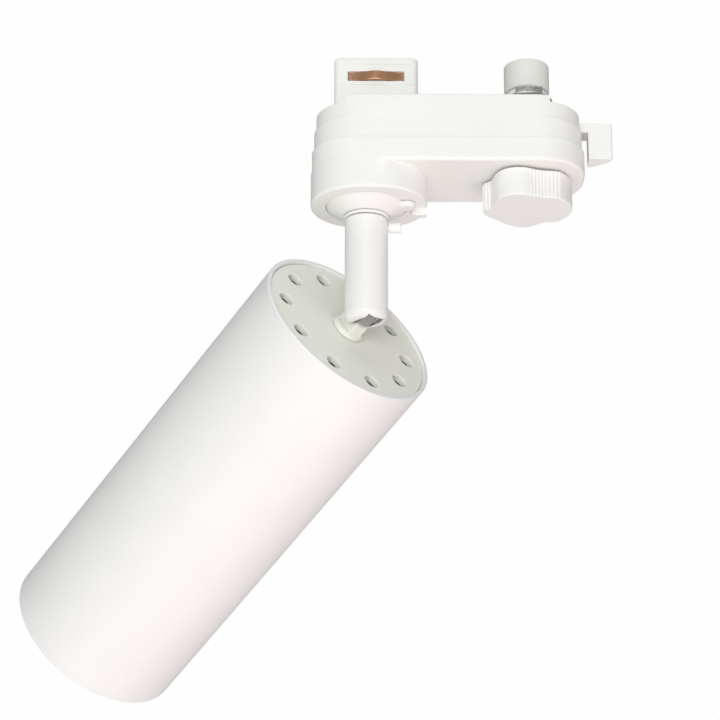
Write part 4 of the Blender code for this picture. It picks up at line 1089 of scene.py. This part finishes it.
def stem():
    """A tube with a round-edged end, slotted for the tongue, in the fork's frame."""
    top = box_in("stem", FORK)[1].z
    bore_end = top - STEM_BORE_DEPTH
    profile = [(STEM_BORE, top)]
    profile += [(STEM_RADIUS - inset, top - rise) for inset, rise in rounding(STEM_TOP_ROUND)]
    corner = (STEM_RADIUS - STEM_END_ROUND, STEM_END_ROUND - STEM_END)
    profile += arc(STEM_END_ROUND, 0, -pi / 2, CORNER_STEPS, corner)
    profile += [(0, -STEM_END), (0, WIRE_BORE_END), (WIRE_BORE, WIRE_BORE_END),
                (WIRE_BORE, bore_end - STEM_BORE_TAPER), (STEM_BORE, bore_end)]
    body = solid("stem_tube", turned(profile, MIDDLE), FORK)
    half = SLOT_WIDTH / 2
    reach = STEM_RADIUS + MM
    cut(body, prism(slot_outline(reach), -half, half), ALONG_FORK)
    cut(body, disc(PIVOT_RADIUS + GAP, -half - PIVOT_TIP, half + PIVOT_WALL), ACROSS)
    seat = STEM_RADIUS - PIVOT_HEAD_DEPTH
    cut(body, disc(PIVOT_HEAD_RADIUS + GAP, seat, reach), ACROSS)
    screw_low, screw_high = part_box("stem_lock_screw")
    centre = FORK.inverted() @ Vector((SWIVEL.translation.x, 0, (screw_low.z + screw_high.z) / 2))
    to_axis = FORK.to_3x3().inverted().to_4x4() @ ACROSS
    cut(body, disc(LOCK_SCREW_HOLE, *LOCK_SCREW_HOLE_ENDS), Matrix.Translation(centre) @ to_axis)
    soften(body, STEM_EDGE)
    place_piece(body, "swivel", "white_paint", ["stem"])
    # The stem's coat carries painted shade, a dull grey in the tilt pivot's slot.
    body.data.materials[0] = STEM_COAT_AND_SHADE


def slot_outline(reach):
    """The tongue's space, seen along the tilt axis: closed behind, open below and in front."""
    outline = [(-SLOT_TOP, -reach)] + arc(SLOT_TOP, pi, -pi / 2, CORNER_STEPS)
    return outline + [(reach, SLOT_TOP), (reach, -reach)]


def stem_lock_screw():
    low, high = box_in("stem_lock_screw", SWIVEL)
    middle = (low.z + high.z) / 2
    head, shank, socket = high.y, LOCK_SCREW_RADIUS, LOCK_SCREW_SOCKET
    floor_of_socket = high.x - LOCK_SCREW_SOCKET_DEPTH
    corners = [(0, low.x), (shank, low.x), (shank, LOCK_SCREW_NECK), (head, LOCK_SCREW_NECK),
               (head, high.x), (socket, high.x), (socket, floor_of_socket), (0, floor_of_socket)]
    place = SWIVEL @ Matrix.Translation((0, 0, middle)) @ ACROSS
    shape = turned(soft_profile(corners, LOCK_SCREW_ROUND, 5), SMALL)
    place_piece(solid("lock_screw", shape, place), "swivel", "white_paint", ["stem_lock_screw"])


def pivot_screw():
    low, high = box_in("pivot_screw", FORK)
    seat = STEM_RADIUS - PIVOT_HEAD_DEPTH + GAP
    profile = screw_head_profile(PIVOT_RADIUS, PIVOT_HEAD_RADIUS, low.x, seat, high.x, PIVOT_SOCKET)
    pin = solid("pivot_pin", turned(profile, SMALL), FORK @ ACROSS)
    place_piece(pin, "swivel", "steel", ["pivot_screw"])


# Lamp head ------------------------------------------------

def knuckle():
    """Tongue, round foot and threaded shank, in the head's frame."""
    high = box_in("knuckle", HEAD)[1]
    half = TONGUE_WIDTH / 2
    thick = TONGUE_HALF_THICKNESS
    root = FOOT_TOP + TONGUE_SINK
    outline = arc(half, pi - TONGUE_SWEEP / 2, TONGUE_SWEEP, ARC_STEPS)
    outline += [(root, TONGUE_EDGE - half), (root, half - TONGUE_EDGE)]
    on_edge = HEAD @ Matrix.Rotation(-pi / 2, 4, "Y")
    tongue = solid("knuckle_tongue", prism(outline, -thick, thick), on_edge)
    soften(tongue, TONGUE_EDGE, 4)
    back = Matrix.Rotation(pi / 2, 4, "Y")
    cap_face = box_in("rear_cap", HEAD)[0].z
    foot = [(0, FOOT_TOP)]
    foot += [(FOOT_RADIUS - inset, FOOT_TOP + rise) for inset, rise in rounding(FOOT_ROUND, 6)]
    foot_end = cap_face - GAP
    foot += [(FOOT_RADIUS, foot_end), (SHANK_RADIUS, foot_end), (SHANK_RADIUS, high.z), (0, high.z)]
    join(tongue, turned(foot, MIDDLE), back)
    cut(tongue, disc(PIVOT_RADIUS + GAP, -2 * thick, 2 * thick))
    cut(tongue, disc(LEAD_BORE, LEAD_BORE_START, high.z + MM), back)
    place_piece(tongue, "head", "cap_paint", ["knuckle"])
    # The knuckle's coat carries painted shade, a dull grey in the tilt pivot's slot.
    tongue.data.materials[0] = KNUCKLE_COAT_AND_SHADE


def rear_cap():
    low, high = box_in("rear_cap", HEAD)
    face, end, radius = low.z, high.z, high.x + CAP_FIT
    back = face + CAP_THICKNESS
    profile = [(0, face)]
    profile += [(radius - inset, face + rise) for inset, rise in rounding(CAP_ROUND)]
    inner, outer = VENT_CIRCLE - VENT_BAND / 2, VENT_CIRCLE + VENT_BAND / 2
    band = face + VENT_DEPTH
    profile += [(radius, end), (CAP_SKIRT_BORE, end), (CAP_SKIRT_BORE, back), (outer, back),
                (outer, band), (inner, band), (inner, back), (0, back)]
    cap = solid("cap", turned(profile), HEAD)
    cut(cap, disc(SHANK_RADIUS + GAP, face - MM, back + MM, MIDDLE))
    for index in range(VENT_COUNT):
        angle = VENT_PHASE + 2 * pi * index / VENT_COUNT
        spot = Matrix.Translation((VENT_CIRCLE * cos(angle), VENT_CIRCLE * sin(angle), 0))
        flare = VENT_RADIUS + VENT_CHAMFER
        drill = [(0, face - MM), (flare, face - MM), (flare, face), (VENT_RADIUS, face + VENT_CHAMFER),
                 (VENT_RADIUS, band + MM), (0, band + MM)]
        cut(cap, turned(drill, SMALL), spot)
    place_piece(cap, "head", "cap_paint", ["rear_cap"])


def body_tube():
    ring = soft_ring("body_tube", HEAD, HEAD_BORE, TUBE_ROUND, 5, TUBE_STEPS)
    place_piece(solid("lamp_tube", ring, HEAD), "head", "white_paint", ["body_tube"])


def front_ring():
    """The anti-glare ring: fine steps that run in from the front edge to the lens."""
    low, high = box_in("front_ring", HEAD)
    deep = (high.z - low.z) / RING_STEPS
    profile = [(high.x, low.z), (high.x, high.z)]
    for step in range(RING_STEPS):
        radius = RING_BORE + RING_FLARE * (1 - step / RING_STEPS)
        profile.append((radius, high.z - deep * step))
        profile.append((radius - RING_STEP_UNDERCUT, high.z - deep * (step + RING_STEP_SHARE)))
    profile.append((RING_BORE, low.z))
    place_piece(solid("glare_ring", turned(profile), HEAD), "head", "black_plastic", ["front_ring"])


def front_lens():
    shape = soft_ring("front_lens", HEAD, 0, LENS_ROUND, count=LARGE)
    place_piece(solid("lens", shape, HEAD), "head", "glass", ["front_lens"])


def reflector():
    """A faceted bowl with a straight collar at its throat."""
    low, high = box_in("reflector", HEAD)
    inner = [(REFLECTOR_THROAT, low.z)]
    outer = [(REFLECTOR_THROAT + REFLECTOR_WALL, low.z)]
    start = low.z + REFLECTOR_COLLAR
    for band in range(REFLECTOR_BANDS + 1):
        t = band / REFLECTOR_BANDS
        radius = REFLECTOR_THROAT + (REFLECTOR_MOUTH - REFLECTOR_THROAT) * t ** REFLECTOR_FLARE
        along = start + (high.z - start) * t
        inner.append((radius, along))
        outer.append((radius + REFLECTOR_WALL, along))
    bowl = solid("reflector_bowl", turned(inner + outer[::-1], REFLECTOR_FACETS), HEAD)
    place_piece(bowl, "head", "aluminium", ["reflector"])
    bowl.data.shade_flat()


def light_source():
    """A domed emitter inside a white dam, held by its ring."""
    low, high = box_in("led_emitter", HEAD)
    dome = [(0, low.z), (EMITTER_DAM, low.z), (EMITTER_DAM, high.z - EMITTER_DROP), (0, high.z)]
    place_piece(solid("emitter", turned(dome, MIDDLE), HEAD), "head", "phosphor", ["led_emitter"])
    dam = soft_ring("led_emitter", HEAD, EMITTER_DAM, DAM_ROUND)
    place_piece(solid("emitter_dam", dam, HEAD), "head", "ceramic")
    low, high = box_in("led_holder", HEAD)
    ring = soft_ring("led_holder", HEAD, HOLDER_BORE, HOLDER_ROUND)
    holder = solid("holder", ring, HEAD)
    for node in ("holder_screw_1", "holder_screw_2"):
        screw_low, screw_high = box_in(node, HEAD)
        middle = (screw_low + screw_high) / 2
        drill = disc(HOLDER_SCREW_HOLE, low.z - MM, high.z + MM)
        cut(holder, drill, Matrix.Translation((middle.x, middle.y, 0)))
    place_piece(holder, "head", "ceramic", ["led_holder"])


# What stays as the CAD has it, with its finish ------------

KEPT_NODES = {
    "inner_plastic": ["terminal_block", "driver_tray", "pivot_washer_left", "pivot_washer_right"],
    "brass": ["terminal_screw_1", "terminal_screw_2", "terminal_screw_3", "threaded_nipple"],
    "white_plastic": ["adapter_lead", "stem_lead", "head_lead"],
    "steel": ["selector_spindle", "friction_washer", "swivel_nut", "knuckle_washer", "knuckle_nut",
              "holder_screw_1", "holder_screw_2"],
    "board": ["driver_board"],
    "tape": ["driver_transformer"],
    "sleeve": ["driver_capacitor", "output_capacitor"],
    "black_plastic": ["driver_choke", "led_lead"],
    "aluminium": ["heat_sink"],
    "ceramic": ["led_board"],
    "silicone": ["lens_seal"],
}


def finish_kept_nodes():
    for slot, names in KEPT_NODES.items():
        for name in names:
            mesh = frame["nodes"][name].data
            mesh.materials.clear()
            mesh.materials.append(FINISH[slot])


# Stage ----------------------------------------------------

def floor():
    """A pale floor far below, so that a view from under the lamp stays above it."""
    shape = bmesh.new()
    shape.faces.new([shape.verts.new((x, y, GROUND_Z)) for x, y in circle(GROUND_RADIUS, MIDDLE)])
    ground = solid("floor", shape, ORIGIN)
    settings = [("Emission Color", (*GROUND_GLOW, 1)), ("Emission Strength", GROUND_GLOW_STRENGTH)]
    material = new_material("floor", settings=settings)
    tint(material, noise(material, 0.6, 2.0), (0.85, 0.835, 0.835), (0.87, 0.855, 0.855))
    gloss(material, noise(material, 3, 2.0), 0.85, 0.95)
    ground.data.materials.append(material)


def area_light(name, place, target, size, power, colour):
    data = bpy.data.lights.new(name, "AREA")
    data.shape = "DISK"
    data.size = size
    data.energy = power
    data.color = colour
    light = add(name, data)
    light.location = place
    light.rotation_euler = (target - place).to_track_quat("-Z", "Y").to_euler()
    light.visible_camera = False


def lights():
    centre = (CAD_BOX[0] + CAD_BOX[1]) / 2
    for name, offset, size, power, colour in LIGHTS:
        area_light(name, centre + Vector(offset), centre, size, power, colour)


def world():
    """White to the eye, and a dimmer even light on the object."""
    scene = bpy.context.scene
    scene.world = bpy.data.worlds.new("studio")
    scene.world.use_nodes = True
    tree = scene.world.node_tree
    tree.nodes.clear()
    seen = tree.nodes.new("ShaderNodeBackground")
    seen.inputs["Color"].default_value = (0.99, 0.99, 0.99, 1)
    ambient = tree.nodes.new("ShaderNodeBackground")
    direction = tree.nodes.new("ShaderNodeTexCoord")
    split = tree.nodes.new("ShaderNodeSeparateXYZ")
    tree.links.new(direction.outputs["Generated"], split.inputs["Vector"])
    across = ranged(tree, split.outputs["X"], -1.0, 1.0)
    grade = graded(tree, across, (0.0, 1.0), (AMBIENT_LEFT, AMBIENT_RIGHT))
    tree.links.new(grade, ambient.inputs["Color"])
    path = tree.nodes.new("ShaderNodeLightPath")
    mix = tree.nodes.new("ShaderNodeMixShader")
    output = tree.nodes.new("ShaderNodeOutputWorld")
    tree.links.new(path.outputs["Is Camera Ray"], mix.inputs["Fac"])
    tree.links.new(ambient.outputs["Background"], mix.inputs[1])
    tree.links.new(seen.outputs["Background"], mix.inputs[2])
    tree.links.new(mix.outputs["Shader"], output.inputs["Surface"])


def camera():
    data = bpy.data.cameras.new("camera")
    data.lens = CAMERA_LENS
    data.sensor_width = SENSOR_WIDTH
    eye = add("camera", data)
    turn = Matrix.Rotation(CAMERA_YAW, 4, "Z") @ Matrix.Rotation(pi / 2 + CAMERA_PITCH, 4, "X")
    eye.matrix_world = Matrix.Translation(CAMERA_PLACE) @ turn @ Matrix.Rotation(CAMERA_ROLL, 4, "Z")
    bpy.context.scene.camera = eye


PIECES = (upper_housing, lower_housing, end_screw, contact_carrier, contact_strips, lock_lever,
          lock_sleeve, lock_cam, selector_knob, phase_carrier, phase_contact, swivel_base,
          stem_collar, stem, stem_lock_screw, pivot_screw, knuckle, rear_cap, body_tube, front_ring,
          front_lens, reflector, light_source)


def build():
    camera()
    world()
    lights()
    floor()
    bpy.context.scene.view_settings.view_transform = "Standard"
    for make in PIECES:
        make()
    finish_kept_nodes()


build()
